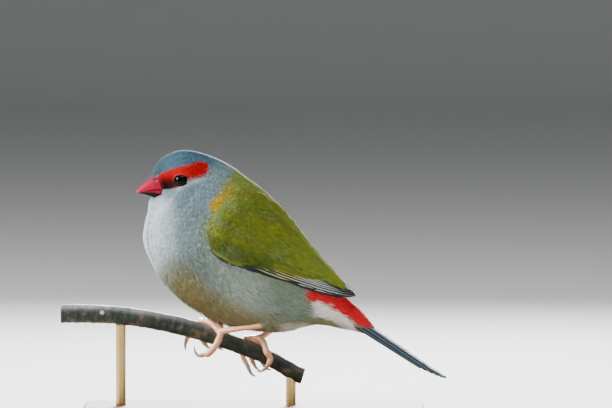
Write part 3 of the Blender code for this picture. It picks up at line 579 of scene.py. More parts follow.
def feather_tree(name, shapes):
    """Geometry Nodes that set feathers over a skin by its own lie, length and crowd values."""
    tree = bpy.data.node_groups.new(name, "GeometryNodeTree")
    face = tree.interface
    face.new_socket("Geometry", in_out="INPUT", socket_type="NodeSocketGeometry")
    sizes = {"From station": 0.0, "To station": LAST_STATION, "Crowding": 1.0, "Length": 1.0}
    for label, value in {**sizes, "Stray angle": 0.2, "Roll": 0.08, "Ruffle": 0.03}.items():
        face.new_socket(label, in_out="INPUT", socket_type="NodeSocketFloat").default_value = value
    face.new_socket("Seed", in_out="INPUT", socket_type="NodeSocketInt").default_value = 1
    face.new_socket("Geometry", in_out="OUTPUT", socket_type="NodeSocketGeometry")
    nodes = Nodes(tree)
    add, math = nodes.add, nodes.math
    given = add("NodeGroupInput")

    def value_of(attribute, kind="FLOAT"):
        return add("GeometryNodeInputNamedAttribute", {"Name": attribute}, data_type=kind)["Attribute"]

    def chance(low, high, offset):
        sockets = {2: low, 3: high, "Seed": math("ADD", given["Seed"], offset)}
        return add("FunctionNodeRandomValue", sockets, data_type="FLOAT")[1]

    def keep(geometry, name, value, kind, domain="POINT"):
        sockets = {"Geometry": geometry, "Name": name, "Value": value}
        return add("GeometryNodeStoreNamedAttribute", sockets, data_type=kind, domain=domain)["Geometry"]

    station = value_of("station")
    after = math("GREATER_THAN", station, given["From station"])
    before = math("LESS_THAN", station, given["To station"])
    crowd_here = math("MULTIPLY", value_of("crowd"), given["Crowding"])
    crowd_here = math("MULTIPLY", math("MULTIPLY", after, before), crowd_here)
    sockets = {"Mesh": given["Geometry"], "Density": crowd_here, "Seed": given["Seed"]}
    spread = add("GeometryNodeDistributePointsOnFaces", sockets, distribute_method="RANDOM")
    facing = add(
        "FunctionNodeAxesToRotation",
        {"Primary Axis": spread["Normal"], "Secondary Axis": value_of("lie", "FLOAT_VECTOR")},
        primary_axis="Z",
        secondary_axis="X",
    )
    ruffle = math("MULTIPLY", chance(-1.0, 1.0, 5), given["Ruffle"])
    lifted = add("ShaderNodeCombineXYZ", {
        "X": math("MULTIPLY", chance(-1.0, 1.0, 3), given["Roll"]),
        "Y": math("MULTIPLY", math("ADD", value_of("lift"), ruffle), -1.0),
        "Z": math("MULTIPLY", chance(-1.0, 1.0, 7), given["Stray angle"]),
    })
    as_turn = add("FunctionNodeEulerToRotation", {"Euler": lifted["Vector"]})
    sockets = {"Rotation": facing["Rotation"], "Rotate By": as_turn["Rotation"]}
    turn = add("FunctionNodeRotateRotation", sockets, rotation_space="LOCAL")
    sockets = {"Collection": shapes, "Separate Children": True, "Reset Children": True}
    shape = add("GeometryNodeCollectionInfo", sockets)
    size = math("MULTIPLY", value_of("coat_length"), given["Length"])
    size = math("MULTIPLY", size, chance(0.80, 1.14, 11))
    sized = add("ShaderNodeCombineXYZ", {axis: size for axis in "XYZ"})
    kept = keep(spread["Points"], "shade", chance(0.0, 1.0, 13), "FLOAT")
    kept = keep(kept, "skin_normal", spread["Normal"], "FLOAT_VECTOR")
    sockets = {4: 0, 5: len(shapes.objects) - 1, "Seed": given["Seed"]}
    pick = add("FunctionNodeRandomValue", sockets, data_type="INT")
    place = add("GeometryNodeInstanceOnPoints", {
        "Points": kept,
        "Instance": shape["Instances"],
        "Pick Instance": True,
        "Instance Index": pick[2],
        "Rotation": turn["Rotation"],
        "Scale": sized["Vector"],
    })
    real = add("GeometryNodeRealizeInstances", {"Geometry": place["Instances"]})
    # The vanes shade mostly like the skin that they lie on, as soft plumage does.
    own_normal = add("GeometryNodeInputNormal")["Normal"]
    sockets = {"Factor": 0.55, "A": own_normal, "B": value_of("skin_normal", "FLOAT_VECTOR")}
    softened = add("ShaderNodeMix", sockets, data_type="VECTOR")
    sockets = {"Mesh": real["Geometry"], "Custom Normal": softened["Result"]}
    soft = add("GeometryNodeSetMeshNormal", sockets, mode="FREE")
    # Each feather's OFBake map takes a small patch of the skin's unwrap.
    sockets = {0: value_of("leaf", "FLOAT_VECTOR"), 1: (LEAF_PATCH, LEAF_PATCH, 0.0)}
    sockets[2] = value_of("skin_uv", "FLOAT_VECTOR")
    patch = add("ShaderNodeVectorMath", sockets, operation="MULTIPLY_ADD")
    baked = keep(soft["Mesh"], "OFBake", patch["Vector"], "FLOAT2", "CORNER")
    coat = add("GeometryNodeSetMaterial", {"Geometry": baked, "Material": feather_material})
    add("NodeGroupOutput", {"Geometry": coat["Geometry"]})
    return tree


feather_material, nodes, shader = new_material(
    "body feathers", 0.70, Specular_IOR_Level=0.14, Sheen_Weight=0.05, Sheen_Roughness=0.4
)
own_shade = nodes.attribute("shade", "Fac")
leaf = nodes.add("ShaderNodeUVMap", uv_map="leaf")["UV"]
leaf = nodes.add("ShaderNodeSeparateXYZ", {"Vector": leaf})
from_root = nodes.between(leaf["X"], 0.80, 1.08, 0.15, 0.95)
by_feather = nodes.between(own_shade, 0.84, 1.14)
barb = nodes.add("ShaderNodeCombineXYZ", {"X": nodes.math("SNAP", leaf["Y"], 0.15), "Y": own_shade})
streak = nodes.add("ShaderNodeTexWhiteNoise", {"Vector": barb["Vector"]}, noise_dimensions="2D")["Value"]
by_barb = nodes.between(streak, 0.72, 1.26)
strength = nodes.math("MULTIPLY", nodes.math("MULTIPLY", from_root, by_feather), by_barb)
nodes.fill(shader, {"Base Color": nodes.scaled(nodes.attribute("plumage"), strength)})

shapes = bpy.data.collections.new("feather shapes")
for seed in range(FEATHER_SHAPES):
    obj = feather_shape(f"feather_shape_{seed}", seed + 3)
    bpy.context.scene.collection.objects.unlink(obj)
    shapes.objects.link(obj)
feather_nodes = feather_tree("lay of body feathers", shapes)
items = feather_nodes.interface.items_tree
feather_inputs = {item.name: item.identifier for item in items if item.in_out == "INPUT"}


def lay_feathers(name, base, slot, **values):
    """Runs the tree over a copy of the base and keeps the result as a plain mesh."""
    holder = bpy.data.objects.new(name + " holder", base.data.copy())
    bpy.context.scene.collection.objects.link(holder)
    change = holder.modifiers.new("feathers", "NODES")
    change.node_group = feather_nodes
    for label, value in values.items():
        change[feather_inputs[label.replace("_", " ")]] = value
    bpy.context.view_layer.update()
    graph = bpy.context.evaluated_depsgraph_get()
    mesh = bpy.data.meshes.new_from_object(holder.evaluated_get(graph))
    bpy.data.objects.remove(holder, do_unlink=True)
    mesh.name = name
    piece = bpy.data.objects.new(name, mesh)
    bpy.context.scene.collection.objects.link(piece)
    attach(piece, "root")
    return piece


BANDS = [0.0, 1.0, 1.7, 2.4, 3.1, 3.9, 4.8, 5.8, 7.0, 8.3, 12.0]
for k, (low, high) in enumerate(zip(BANDS, BANDS[1:])):
    slot = "grey_feathers" if high < 6.0 else "breast_feathers"
    values = {"From_station": low, "To_station": high, "Seed": 21 + k}
    lay_feathers(f"body_feathers_{k + 1}", skin, slot, **values, Stray_angle=0.16, Roll=0.05, Ruffle=0.02)


# Folded wings.  Each wing is a thin plate of flesh and bone over the flank, with its
# long quills, tertials and coverts laid on it as curved vanes, one tier over the next.
WING_BED = BODY[:8] + [
    (16.0, 57.8, -5.6, 29.9, 14.8, 0.46, 0.0),
    (22.4, 49.6, 6.6, 28.4, 11.4, 0.49, 0.0),
    (29.2, 42.6, 18.2, 30.4, 7.8, 0.52, 0.0),
    (36.0, 37.0, 27.6, 29.0, 5.6, 0.52, 0.0),
    (42.0, 32.4, 37.2, 25.8, 4.4, 0.50, 0.0),
]
BED_TABLE = spline_table(WING_BED)


def bed_depth(x, z):
    """(station, half width) of the wing's bed where the side view shows x, z."""
    low = np.zeros(np.shape(x))
    top = np.full(np.shape(x), LAST_STATION)

    def across(s):
        tx, tz, bx, bz, wide, high, bow = row_at(BED_TABLE, s)
        f = (z - bz) / (tz - bz)
        c = 2 * f - 1
        return bx + f * (tx - bx) + bow * np.maximum(0.0, 1 - c * c), f, wide, high

    for _ in range(26):
        middle = (low + top) / 2
        short = across(middle)[0] < x
        low = np.where(short, middle, low)
        top = np.where(short, top, middle)
    _, f, wide, high = across(low)
    f = np.clip(f, 0.004, 0.996)
    up = np.where(f > high, (f - high) / (1 - high), (high - f) / high)
    up = np.minimum(up, 0.999) ** (1 / ROUNDNESS)
    return low, wide * np.sqrt(1 - up * up) ** ROUNDNESS


def above_bed(x, z, lift, side):
    """Points at a lift above the bed where the side view shows x, z; side is -1 left, 1 right."""
    s, deep = bed_depth(x, z)
    step = 0.35
    slope_x = (bed_depth(x + step, z)[1] - bed_depth(x - step, z)[1]) / (2 * step)
    slope_z = (bed_depth(x, z + step)[1] - bed_depth(x, z - step)[1]) / (2 * step)
    long = np.sqrt(slope_x**2 + 1 + slope_z**2)
    spots = turned(x - lift * slope_x / long, side * (deep + lift / long), z - lift * slope_z / long, s)
    return spots, s


def bed_uv(x, z, side):
    """Place on the skin's own unwrap below a point of the wing."""
    s, deep = bed_depth(np.array([x]), np.array([z]))
    _, tz, _, bz, wide, high, _ = row_at(BED_TABLE, s)
    a = atan2(float(deep[0] / wide[0]), float(2 * (z - bz[0]) / (tz[0] - bz[0]) - 1)) / (2 * pi)
    return on_chart(a if side < 0 else 1 - a, float(s[0]) / LAST_STATION)


def grid(*values):
    """Values of a grid, each for every point of it, side by side."""
    return np.stack(np.broadcast_arrays(*values), -1)


def dress(obj, material, slot, *nodes):
    """Gives a piece its material, hides the solids that it stands for and sets it on the root body; the slot
    is not used.
    """
    obj.data.materials.append(material)
    if nodes:
        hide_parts(*nodes)
    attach(obj, "root")


class Vanes:
    """Gathers closed vanes, each a grid of points over its twin below, into one mesh."""

    def __init__(self):
        self.points, self.faces, self.tones, self.shades = [], [], [], []
        self.leaf, self.barbs, self.bake = [], [], []

    def add(self, top, bottom, tone, leaf, barbs, shade, root_uv):
        rows, cols = top.shape[:2]
        base = len(self.points)
        under = rows * cols
        for sheet in (top, bottom):
            self.points += list(sheet.reshape(-1, 3))
            self.tones += list(np.broadcast_to(tone, top.shape).reshape(-1, 3))
            self.leaf += list(leaf.reshape(-1, 2))
            self.barbs += list(barbs.reshape(-1, 2))
            self.bake += list(root_uv + LEAF_PATCH * leaf.reshape(-1, 2))
            self.shades += [shade] * under
        for i in range(rows - 1):
            for j in range(cols - 1):
                a = base + i * cols + j
                self.faces.append((a, a + 1, a + cols + 1, a + cols))
                self.faces.append((a + under + cols, a + under + cols + 1, a + under + 1, a + under))
        rim = [i * cols for i in range(rows)] + [(rows - 1) * cols + j for j in range(1, cols)]
        rim += [i * cols + cols - 1 for i in range(rows - 2, -1, -1)] + [j for j in range(cols - 2, 0, -1)]
        for a, b in zip(rim, rim[1:] + rim[:1]):
            self.faces.append((base + a, base + b, base + b + under, base + a + under))

    def finish(self, name, slot, node):
        obj = outward(mesh_of(name, self.points, self.faces))
        paint(obj, "plumage", self.tones)
        paint(obj, "shade", self.shades, "FLOAT")
        corners = corner_points(obj)
        for label, values in (("OFBake", self.bake), ("leaf", self.leaf), ("barbs", self.barbs)):
            unwrap(obj, label, np.array(values)[corners])
        dress(obj, quill_material, slot, node)


def edge_near(x, z):
    """Distance inside the wing's front and upper edges, negative outside them."""
    near = line_gap(np.array(WING_LOW[4::-1] + WING_HIGH, float), x, z)
    return np.where(inside(wing_shape, x, z) < 0, -near, near)


def near_back(x, z):
    """The wing lies closer to the body towards its front and upper edges."""
    return 0.12 + 0.88 * soft_step(-1.2, 4.2, edge_near(x, z))


def outline_of(u, shape, rng, splits):
    """Half widths of a vane along its two edges, with a few places where the barbs part."""
    wide = np.interp(u, [p[0] for p in shape], [p[1] for p in shape])
    edges = []
    for _ in (0, 1):
        edge = wide * (1 + 0.015 * np.sin(u * 61 + rng.uniform(0, 6)))
        for _ in range(splits):
            edge = edge * (1 - 0.30 * np.exp(-(((u - rng.uniform(0.45, 0.95)) / 0.014) ** 2)))
        edges.append(edge)
    return edges


VANE_ROWS = np.array([-1.0, -0.92, -0.80, -0.5, -0.05, 0.05, 0.5, 0.85, 1.0])[None, :]
VANE_TILT = 0.16
VANE_CROWN = 0.07
VANE_THICK = 0.16
SHAFT_HALF = 0.16


def wing_vane(vanes, side, root, tip, half, bend, lifts, shape, tone, fine=26, splits=1):
    """Adds one vane that runs over the bed from root to tip, a plain curve in the side view."""
    root = np.array(root, float)
    along = np.array(tip, float) - root
    length = float(np.linalg.norm(along))
    upward = np.array([-along[1], along[0]]) / length
    u = np.linspace(0, 1, fine)[:, None]
    q = VANE_ROWS
    lower, upper = outline_of(u[:, 0], shape, rng, splits)
    wide = np.where(q < 0, lower[:, None], upper[:, None]) * half
    across = wide * q
    back = 0.5 * half * np.abs(q) ** 1.5 * u * 0.6
    sideways = bend * 4 * u * (1 - u) + across
    x, z = (root[k] + along[k] * u - back * along[k] / length + upward[k] * sideways for k in (0, 1))
    face = lifts[0] + (lifts[1] - lifts[0]) * u
    shaft = VANE_CROWN * np.exp(-((across / SHAFT_HALF) ** 2)) * (1 - 0.7 * u)
    lift = (face - VANE_TILT * q + VANE_CROWN * (1 - q * q) + shaft) * near_back(x, z)
    top, _ = above_bed(x, z, lift, side)
    bottom, _ = above_bed(x, z, lift - VANE_THICK - 0.10 * (1 - u) + 0 * q, side)
    tones = tone(u, q) if callable(tone) else tone
    shade = rng.uniform(0, 1)
    vanes.add(top, bottom, tones, grid(u, (q + 1) / 2), grid(u * length, across), shade, bed_uv(*root, side))


LONG = ((0.0, 0.55), (0.35, 0.9), (0.7, 1.0), (0.90, 0.80), (0.97, 0.45), (1.0, 0.14))
BROAD = ((0.0, 0.5), (0.4, 0.95), (0.75, 1.0), (0.90, 0.82), (0.97, 0.5), (1.0, 0.22))
PRIMARY_TIPS = [
    (30.8, 39.3), (31.5, 39.6), (31.0, 40.3), (29.4, 41.2), (27.4, 42.2), (25.4, 43.2), (23.5, 44.2),
    (21.7, 45.2), (20.0, 46.2),
]
# Root, tip and half width of each, in the side view.
TERTIALS = (
    ((0.5, 60.2), (26.0, 43.2), 2.2),
    ((2.0, 62.0), (23.0, 46.2), 2.0),
    ((3.4, 63.4), (18.6, 50.6), 1.8),
)
SHOULDER = (((-8.0, 66.2), (4.6, 61.8)), ((-4.6, 68.0), (9.0, 61.4)))
# Blackish vanes under the wing's lower edge: the front ones are partly the wing's dark leading edge and
# partly painted shadow under it; the last is a painted shadow line over the red rump.
UNDER_EDGE_AND_SHADOW = (
    ((-12.8, 54.5), (-4.2, 49.5), 1.30),
    ((-9.4, 51.7), (3.4, 47.1), 0.72),
    ((-3.0, 49.1), (14.0, 43.7), 0.45),
    ((10.0, 44.6), (27.6, 39.1), 0.50),
)
QUILL = (0.016, 0.022, 0.022)
QUILL_EDGE = (0.42, 0.45, 0.40)
QUILL_GOLD = (0.52, 0.50, 0.040)
QUILL_ROOT = (0.46, 0.47, 0.26)
WING_OLIVE = (0.122, 0.158, 0.013)
WING_MOSS = (0.040, 0.062, 0.003)


def mix(a, b, t):
    """Colour a moved towards b by t, for an array of t."""
    a = np.asarray(a, float)
    b = np.asarray(b, float)
    return a + (b - a) * np.asarray(t, float)[..., None]


def primary_tone(number):
    """Blackish quill with a fine pale outer edge, yellow or cream near the root and grey to the tip."""
    near_root = mix(QUILL_ROOT, QUILL_GOLD, min(number / 3.0, 1.0))

    def tone(u, q):
        edge = soft_step(-0.81, -0.89, q + 0 * u) * soft_step(0.16, 0.26, u)
        edge = edge * (1 - 0.7 * soft_step(0.76, 0.94, u))
        pale = mix(near_root, QUILL_EDGE, soft_step(0.38, 0.60, u + 0 * q))
        return np.array(QUILL) * (1 - edge[..., None]) + pale * edge[..., None]

    return tone


def olive_tone(dark, gold=0.0):
    """Olive vane with a thin lighter edge, and gold towards its tip."""
    base = 0.92 * mix(WING_OLIVE, WING_MOSS, dark)

    def tone(u, q):
        lit = 0.16 * soft_step(-0.75, -0.95, q + 0 * u) + gold * soft_step(0.75, 1.0, u + 0 * q)
        return mix(base, GOLD, lit)

    return tone


def add_sockets(tree, way, **kinds):
    """Names the inputs or outputs of a node group."""
    for label, kind in kinds.items():
        tree.interface.new_socket(label.replace("_", " "), in_out=way, socket_type="NodeSocket" + kind)


def barb_group():
    """Colour and height of a vane: fine slanting barbs either side of a smooth shaft."""
    group = bpy.data.node_groups.new("barbs of a vane", "ShaderNodeTree")
    add_sockets(group, "INPUT", Plumage="Color", Shade="Float", Barbs_per_mm="Float")
    add_sockets(group, "OUTPUT", Colour="Color", Height="Float")
    nodes = Nodes(group)
    math = nodes.math
    given = nodes.add("NodeGroupInput")
    chart = nodes.add("ShaderNodeUVMap", uv_map="barbs")["UV"]
    apart = nodes.add("ShaderNodeSeparateXYZ", {"Vector": chart})
    off_shaft = math("ABSOLUTE", apart["Y"])
    rough = nodes.add("ShaderNodeTexNoise", {"Vector": chart, "Scale": 0.9, "Detail": 3.0})["Fac"]
    slant = math("SUBTRACT", apart["X"], math("MULTIPLY", off_shaft, 1.25))
    slant = math("ADD", slant, math("MULTIPLY", rough, 0.55))
    turns = math("MULTIPLY", given["Barbs per mm"], 2 * pi)
    wave = math("SINE", math("MULTIPLY", slant, turns))
    shaft = math("SUBTRACT", 1.0, math("MINIMUM", math("MULTIPLY", off_shaft, 9.0), 1.0))
    height = math("ADD", math("MULTIPLY", wave, 0.5), math("MULTIPLY", shaft, 1.5))
    strength = math("ADD", math("MULTIPLY", wave, 0.10), math("MULTIPLY", rough, 0.5))
    strength = math("ADD", strength, math("MULTIPLY", given["Shade"], 0.22))
    strength = math("ADD", math("SUBTRACT", strength, math("MULTIPLY", shaft, 0.25)), 0.62)
    nodes.add("NodeGroupOutput", {"Colour": nodes.scaled(given["Plumage"], strength), "Height": height})
    return group


quill_material, nodes, shader = new_material(
    "wing and tail vanes", 0.58, Specular_IOR_Level=0.14, Sheen_Weight=0.03, Sheen_Roughness=0.4
)
sockets = {"Plumage": nodes.attribute("plumage"), "Shade": nodes.attribute("shade", "Fac")}
sockets["Barbs per mm"] = 3.2
barbs = nodes.add("ShaderNodeGroup", sockets, node_tree=barb_group())
sockets = {"Strength": 0.35, "Distance": 0.00006, "Height": barbs["Height"]}
ridges = nodes.add("ShaderNodeBump", sockets)
nodes.fill(shader, {"Base Color": barbs["Colour"], "Normal": ridges["Normal"]})


def chart_spot(w, q):
    """Point of the wing's chart, w from the wrist (0) to the tip (1), q from the lower edge up."""
    k = w * (len(WING_LOW) - 1)
    steps = np.arange(len(WING_LOW))
    low = [np.interp(k, steps, [p[i] for p in WING_LOW]) for i in (0, 1)]
    high = [np.interp(k, steps, [p[i] for p in WING_HIGH]) for i in (0, 1)]
    return low[0] + (high[0] - low[0]) * q, low[1] + (high[1] - low[1]) * q


MOTTLE_PALE = (0.150, 0.190, 0.075)
MOTTLE_GOLD = (0.210, 0.200, 0.006)
WRIST_PALE = (0.150, 0.195, 0.115)
WING_GOLD = (0.230, 0.190, 0.003)
COVERT_ROWS = 90
COVERT_COLS = 64
COVERT_CROWDING = 33.0


def mottle_at(a, b):
    """Soft streaks of tone that run along the wing."""
    return noise.noise(Vector((0.11 * (0.89 * a - 0.46 * b), 0.36 * (0.46 * a + 0.89 * b), 3.7)))


for word, side in (("left", -1), ("right", 1)):
    rng = np.random.default_rng(70 + side)
    vanes = Vanes()
    w = np.linspace(0, 0.94, 70)[:, None]
    q = np.linspace(0, 1, 30)[None, :]
    x, z = chart_spot(w + 0 * q, q + 0 * w)
    edge = np.minimum(1.0, 0.25 + 3.5 * np.minimum(q, 1 - q)) * np.minimum(1.0, 0.3 + 5 * w)
    top, _ = above_bed(x, z, (0.30 + 0.60 * edge) * near_back(x, z), side)
    bottom, _ = above_bed(x, z, 0.05 + 0 * edge, side)
    # Painted shade: the plate under the vanes is a darker copy of the wing's dark olive, as the shade under
    # them.
    moss_in_painted_shade = np.array(WING_MOSS) * 0.8
    vanes.add(top, bottom, moss_in_painted_shade, grid(w, q), grid(w * 46, (q - 0.5) * 16), 0.3, bed_uv(0.0, 58.0, side))

    # From the lowest tier up: primaries, secondaries, tertials, two rows of coverts,
    # the feathers of the shoulder, and the narrow blackish ones under the wing's edge,
    # which are partly its dark leading edge and partly a painted shadow line under the wing.
    tiers = []
    for k, tip in enumerate(PRIMARY_TIPS):
        root = (-5.6 + 1.15 * k, 52.1 + 0.42 * k)
        lift = 1.28 + 0.035 * k
        tiers.append((root, tip, 1.75, -0.15 + 0.01 * k, (lift, lift), LONG, primary_tone(k), 44, 0))
    for k in range(6):
        root = (-4.4 + 0.9 * k, 53.6 + 1.5 * k)
        tip = (22.4 - 0.5 * k, 45.0 + 1.15 * k)
        lift = 1.62 + 0.04 * k
        tiers.append((root, tip, 2.0, -0.2, (lift, lift), LONG, olive_tone(0.25, 0.2), 36))
    for k, (root, tip, half) in enumerate(TERTIALS):
        lifts = (1.95 + 0.1 * k, 1.9 + 0.1 * k)
        tiers.append((root, tip, half, 0.3, lifts, LONG, olive_tone(0.15 + 0.1 * k, 0.15), 36))
    for k in range(8):
        tip = (-1.6 + 1.15 * k, 49.9 + 1.62 * k)
        lifts = (1.45, 1.72 + 0.02 * (k % 2))
        tiers.append(((tip[0] - 8.6, tip[1] + 3.2), tip, 1.5, -0.2, lifts, BROAD, olive_tone(0.3)))
    for k in range(6):
        tip = (-6.2 + 1.25 * k, 52.2 + 2.05 * k)
        tiers.append(((tip[0] - 6.0, tip[1] + 2.2), tip, 1.55, -0.1, (1.50, 1.82), BROAD, olive_tone(0.3)))
    for root, tip in SHOULDER:
        tiers.append((root, tip, 2.5, 0.3, (1.55, 1.85), BROAD, olive_tone(0.3)))
    for root, tip, half in UNDER_EDGE_AND_SHADOW:
        tiers.append((root, tip, half, -0.35, (1.25, 1.50), BROAD, QUILL))
    for vane in tiers:
        wing_vane(vanes, side, *vane)
    vanes.finish(f"wing_vanes_{word}", "wing_feathers", f"wing_{word}")

    # Small coverts over the wrist, the shoulder and the upper edge.
    w = np.linspace(0.0, 0.86, COVERT_ROWS)[:, None]
    q = np.linspace(-0.07, 1.12, COVERT_COLS)[None, :]
    full_w, full_q = w + 0 * q, q + 0 * w
    x, z = chart_spot(full_w, full_q)
    edge = edge_near(x, z)
    height = 1.20 + 0.85 * soft_step(0.0, 0.14, w) * soft_step(0.0, 0.22, q)
    height = (height + 0.30 * soft_step(0.35, 0.75, q)) * near_back(x, z) - 0.50 * soft_step(1.3, -1.0, edge)
    spots, s = above_bed(x, z, height, side)
    ahead, _ = above_bed(*chart_spot(np.minimum(w + 0.02, 1.0) + 0 * q, full_q), height, side)
    faces = []
    for i in range(COVERT_ROWS - 1):
        for j in range(COVERT_COLS - 1):
            a = i * COVERT_COLS + j
            face = (a, a + 1, a + COVERT_COLS + 1, a + COVERT_COLS)
            faces.append(face if side > 0 else face[::-1])
    patch = mesh_of(f"wing_patch_{word}", spots.reshape(-1, 3), faces)
    if sum(f.normal.y for f in patch.data.polygons) * side < 0:
        patch.data.flip_normals()
    small = soft_step(0.50, 0.42, full_w)
    band = soft_step(0.30, 0.38, full_q) * soft_step(0.92, 0.80, w)
    lowest = np.interp(w, [0.0, 0.10, 0.25, 1.0], [-0.02, 0.0, 0.085, 0.085])
    highest = np.interp(w, [0.0, 0.40, 0.60, 1.0], [1.12, 1.12, 1.06, 1.03])
    cover = np.maximum(small, band) * soft_step(-0.01, 0.02, q - lowest) * soft_step(0.02, -0.01, q - highest)
    size = 1.9 + 2.3 * soft_step(0.0, 0.6, full_w)
    mottle = np.array([mottle_at(*place) for place in zip(x.ravel(), z.ravel())]).reshape(x.shape)
    tones = mix(WING_OLIVE, WING_MOSS, 0.95 * soft_step(0.40, 0.06, full_q))
    tones = mix(tones, MOTTLE_PALE, 0.42 * soft_step(-0.05, 0.45, mottle) * soft_step(0.75, 0.30, full_w))
    tones = mix(tones, MOTTLE_GOLD, 0.40 * soft_step(0.02, -0.40, mottle))
    tones = mix(tones, WRIST_PALE, 0.22 * soft_step(2.2, -0.4, edge) * soft_step(0.22, 0.08, full_w))
    tones = tones * (1 + 0.30 * soft_step(0.35, 0.75, full_w))[..., None]
    tones = mix(tones, WING_GOLD, 0.6 * gold_patch(x, z))
    way = ahead - spots
    way /= np.linalg.norm(way, axis=-1, keepdims=True) + 1e-9
    feather_bed(patch, tones, way, size.ravel(), (cover * COVERT_CROWDING / size**2).ravel(), LIFT, 5.0)
    angle_here = np.interp(full_q, [0, 1], [0.30, 0.10])
    chart = on_chart(angle_here if side < 0 else 1 - angle_here, s / LAST_STATION)
    unwrap(patch, "skin_uv", chart.reshape(-1, 2)[corner_points(patch)])
    values = {"Seed": 40 + side, "Stray_angle": 0.13, "Roll": 0.06, "Ruffle": 0.02}
    lay_feathers(f"wing_coverts_{word}", patch, "wing_feathers", **values)
    bpy.data.objects.remove(patch, do_unlink=True)


# Tail of twelve feathers, the middle pair uppermost and longest, each under the one
# inside it.  They are blackish with paler grey edges, which carry a painted greyish sheen as well.
TAIL_FROM = np.array([31.0, 0.0, 32.1])
TAIL_WAY = np.array([26.8, 0.0, -17.8])
TAIL_WAY /= np.linalg.norm(TAIL_WAY)
TAIL_UP = np.array([-TAIL_WAY[2], 0.0, TAIL_WAY[0]])
TAIL_LENGTHS = (33.0, 32.2, 30.8, 29.0, 27.0, 25.0)
TAIL_SHAPE = ((0.0, 1.5), (0.35, 2.1), (0.72, 2.5), (0.90, 2.15), (0.97, 1.3), (1.0, 0.45))
TAIL_BLACK = (0.008, 0.010, 0.012)
TAIL_GREY_AND_SHEEN = (0.150, 0.205, 0.260)
TAIL_EDGES = (0.75, 0.20, 0.90, 0.08, 0.55, 0.06)
rng = np.random.default_rng(12)
vanes = Vanes()
u = np.linspace(0, 1, 48)[:, None]
q = np.linspace(-1, 1, 9)[None, :]
for k, length in enumerate(TAIL_LENGTHS):
    for sign in (-1, 1):
        splay = radians(0.25 + 0.35 * k) * sign
        drop = 0.48 * k + (0.14 if sign < 0 else 0.0) - 1.3
        lower, upper = outline_of(u[:, 0], TAIL_SHAPE, rng, 1)
        half = np.where(q < 0, lower[:, None], upper[:, None])
        out = sign * (0.8 + 0.22 * k) + sin(splay) * length * u + half * q
        fall = drop * (1 - 0.35 * u) + 0.28 * q * q + 0.14 * q * sign
        fall = fall - 0.06 * np.exp(-((half * q / SHAFT_HALF) ** 2)) * (1 - 0.7 * u)
        back = length * u - 0.5 * np.abs(q) ** 1.5 * u
        top = TAIL_FROM + back[..., None] * TAIL_WAY - fall[..., None] * TAIL_UP + grid(0 * out, out, 0 * out)
        bottom = top - ((0.30 - 0.14 * u) + 0 * q)[..., None] * TAIL_UP
        # The grey on each vane's outer half is partly its paler edge and partly painted sheen.
        edge = soft_step(0.40, 0.85, np.where(q * sign > 0, np.abs(q), 0.0) + 0 * u)
        tone = mix(TAIL_BLACK, TAIL_GREY_AND_SHEEN, TAIL_EDGES[k] * edge + 0.04 * u)
        leaf = grid(u, (q + 1) / 2)
        shade = rng.uniform(0, 1)
        vanes.add(top, bottom, tone, leaf, grid(u * length, half * q), shade, (0.5 + 0.02 * k * sign, 0.945))
vanes.finish("tail_vanes", "tail_feathers", "tail")


# Bill of polished horn: a deep red upper half with a dusky ridge, closing over a lower
# half that is red at the sides and black beneath.  The join is the line of the mouth.
BILL_RED = (0.330, 0.005, 0.030)
BILL_DUSK = (0.100, 0.052, 0.080)
BILL_BLACK = (0.001, 0.0012, 0.0012)
BILL_ROOT = 0.9
BILL_RINGS = 54
BILL_SIDES = 64
NOSTRIL = (-30.2, 75.0)
# Each row is x, the upper and lower edge, and the half width; the first lies on the face.
UPPER_ROWS = [
    (None, 76.9, 72.25, 3.5), (-30.9, 76.45, 72.15, 2.95), (-31.9, 75.6, 71.95, 2.55),
    (-33.0, 74.5, 71.7, 2.05), (-34.0, 73.45, 71.45, 1.5), (-34.8, 72.55, 71.25, 1.05),
    (-35.4, 71.85, 71.1, 0.62), (-35.8, 71.4, 70.95, 0.25),
]
LOWER_ROWS = [
    (None, 72.15, 69.8, 3.0), (-30.7, 72.0, 69.6, 2.5), (-31.9, 71.85, 69.85, 2.1), (-33.1, 71.6, 70.25, 1.6),
    (-34.1, 71.4, 70.6, 1.0), (-34.8, 71.2, 70.8, 0.4),
]


def grain_group():
    """Grain of a grown or worked surface, which may be stretched one way, and its fine relief."""
    group = bpy.data.node_groups.new("grain of a surface", "ShaderNodeTree")
    add_sockets(group, "INPUT", Scale="Float", Detail="Float", Distortion="Float", Stretch="Vector")
    add_sockets(group, "INPUT", Relief="Float", Depth="Float")
    add_sockets(group, "OUTPUT", Grain="Float", Normal="Vector")
    nodes = Nodes(group)
    given = nodes.add("NodeGroupInput")
    where = nodes.add("ShaderNodeTexCoord")["Object"]
    where = nodes.add("ShaderNodeMapping", {"Vector": where, "Scale": given["Stretch"]})["Vector"]
    sockets = {"Vector": where, **{name: given[name] for name in ("Scale", "Detail", "Distortion")}}
    grain = nodes.add("ShaderNodeTexNoise", sockets)["Fac"]
    sockets = {"Strength": given["Relief"], "Distance": given["Depth"], "Height": grain}
    normal = nodes.add("ShaderNodeBump", sockets)["Normal"]
    nodes.add("NodeGroupOutput", {"Grain": grain, "Normal": normal})
    return group


GRAIN = grain_group()


def grained(nodes, scale, detail=2.0, stretch=(1.0, 1.0, 1.0), relief=0.0, depth=0.0001, distortion=0.0):
    """Places the grain in a material with its own values and gives its outputs."""
    sockets = {"Scale": scale, "Detail": detail, "Distortion": distortion, "Stretch": stretch}
    return nodes.add("ShaderNodeGroup", {**sockets, "Relief": relief, "Depth": depth}, node_tree=GRAIN)


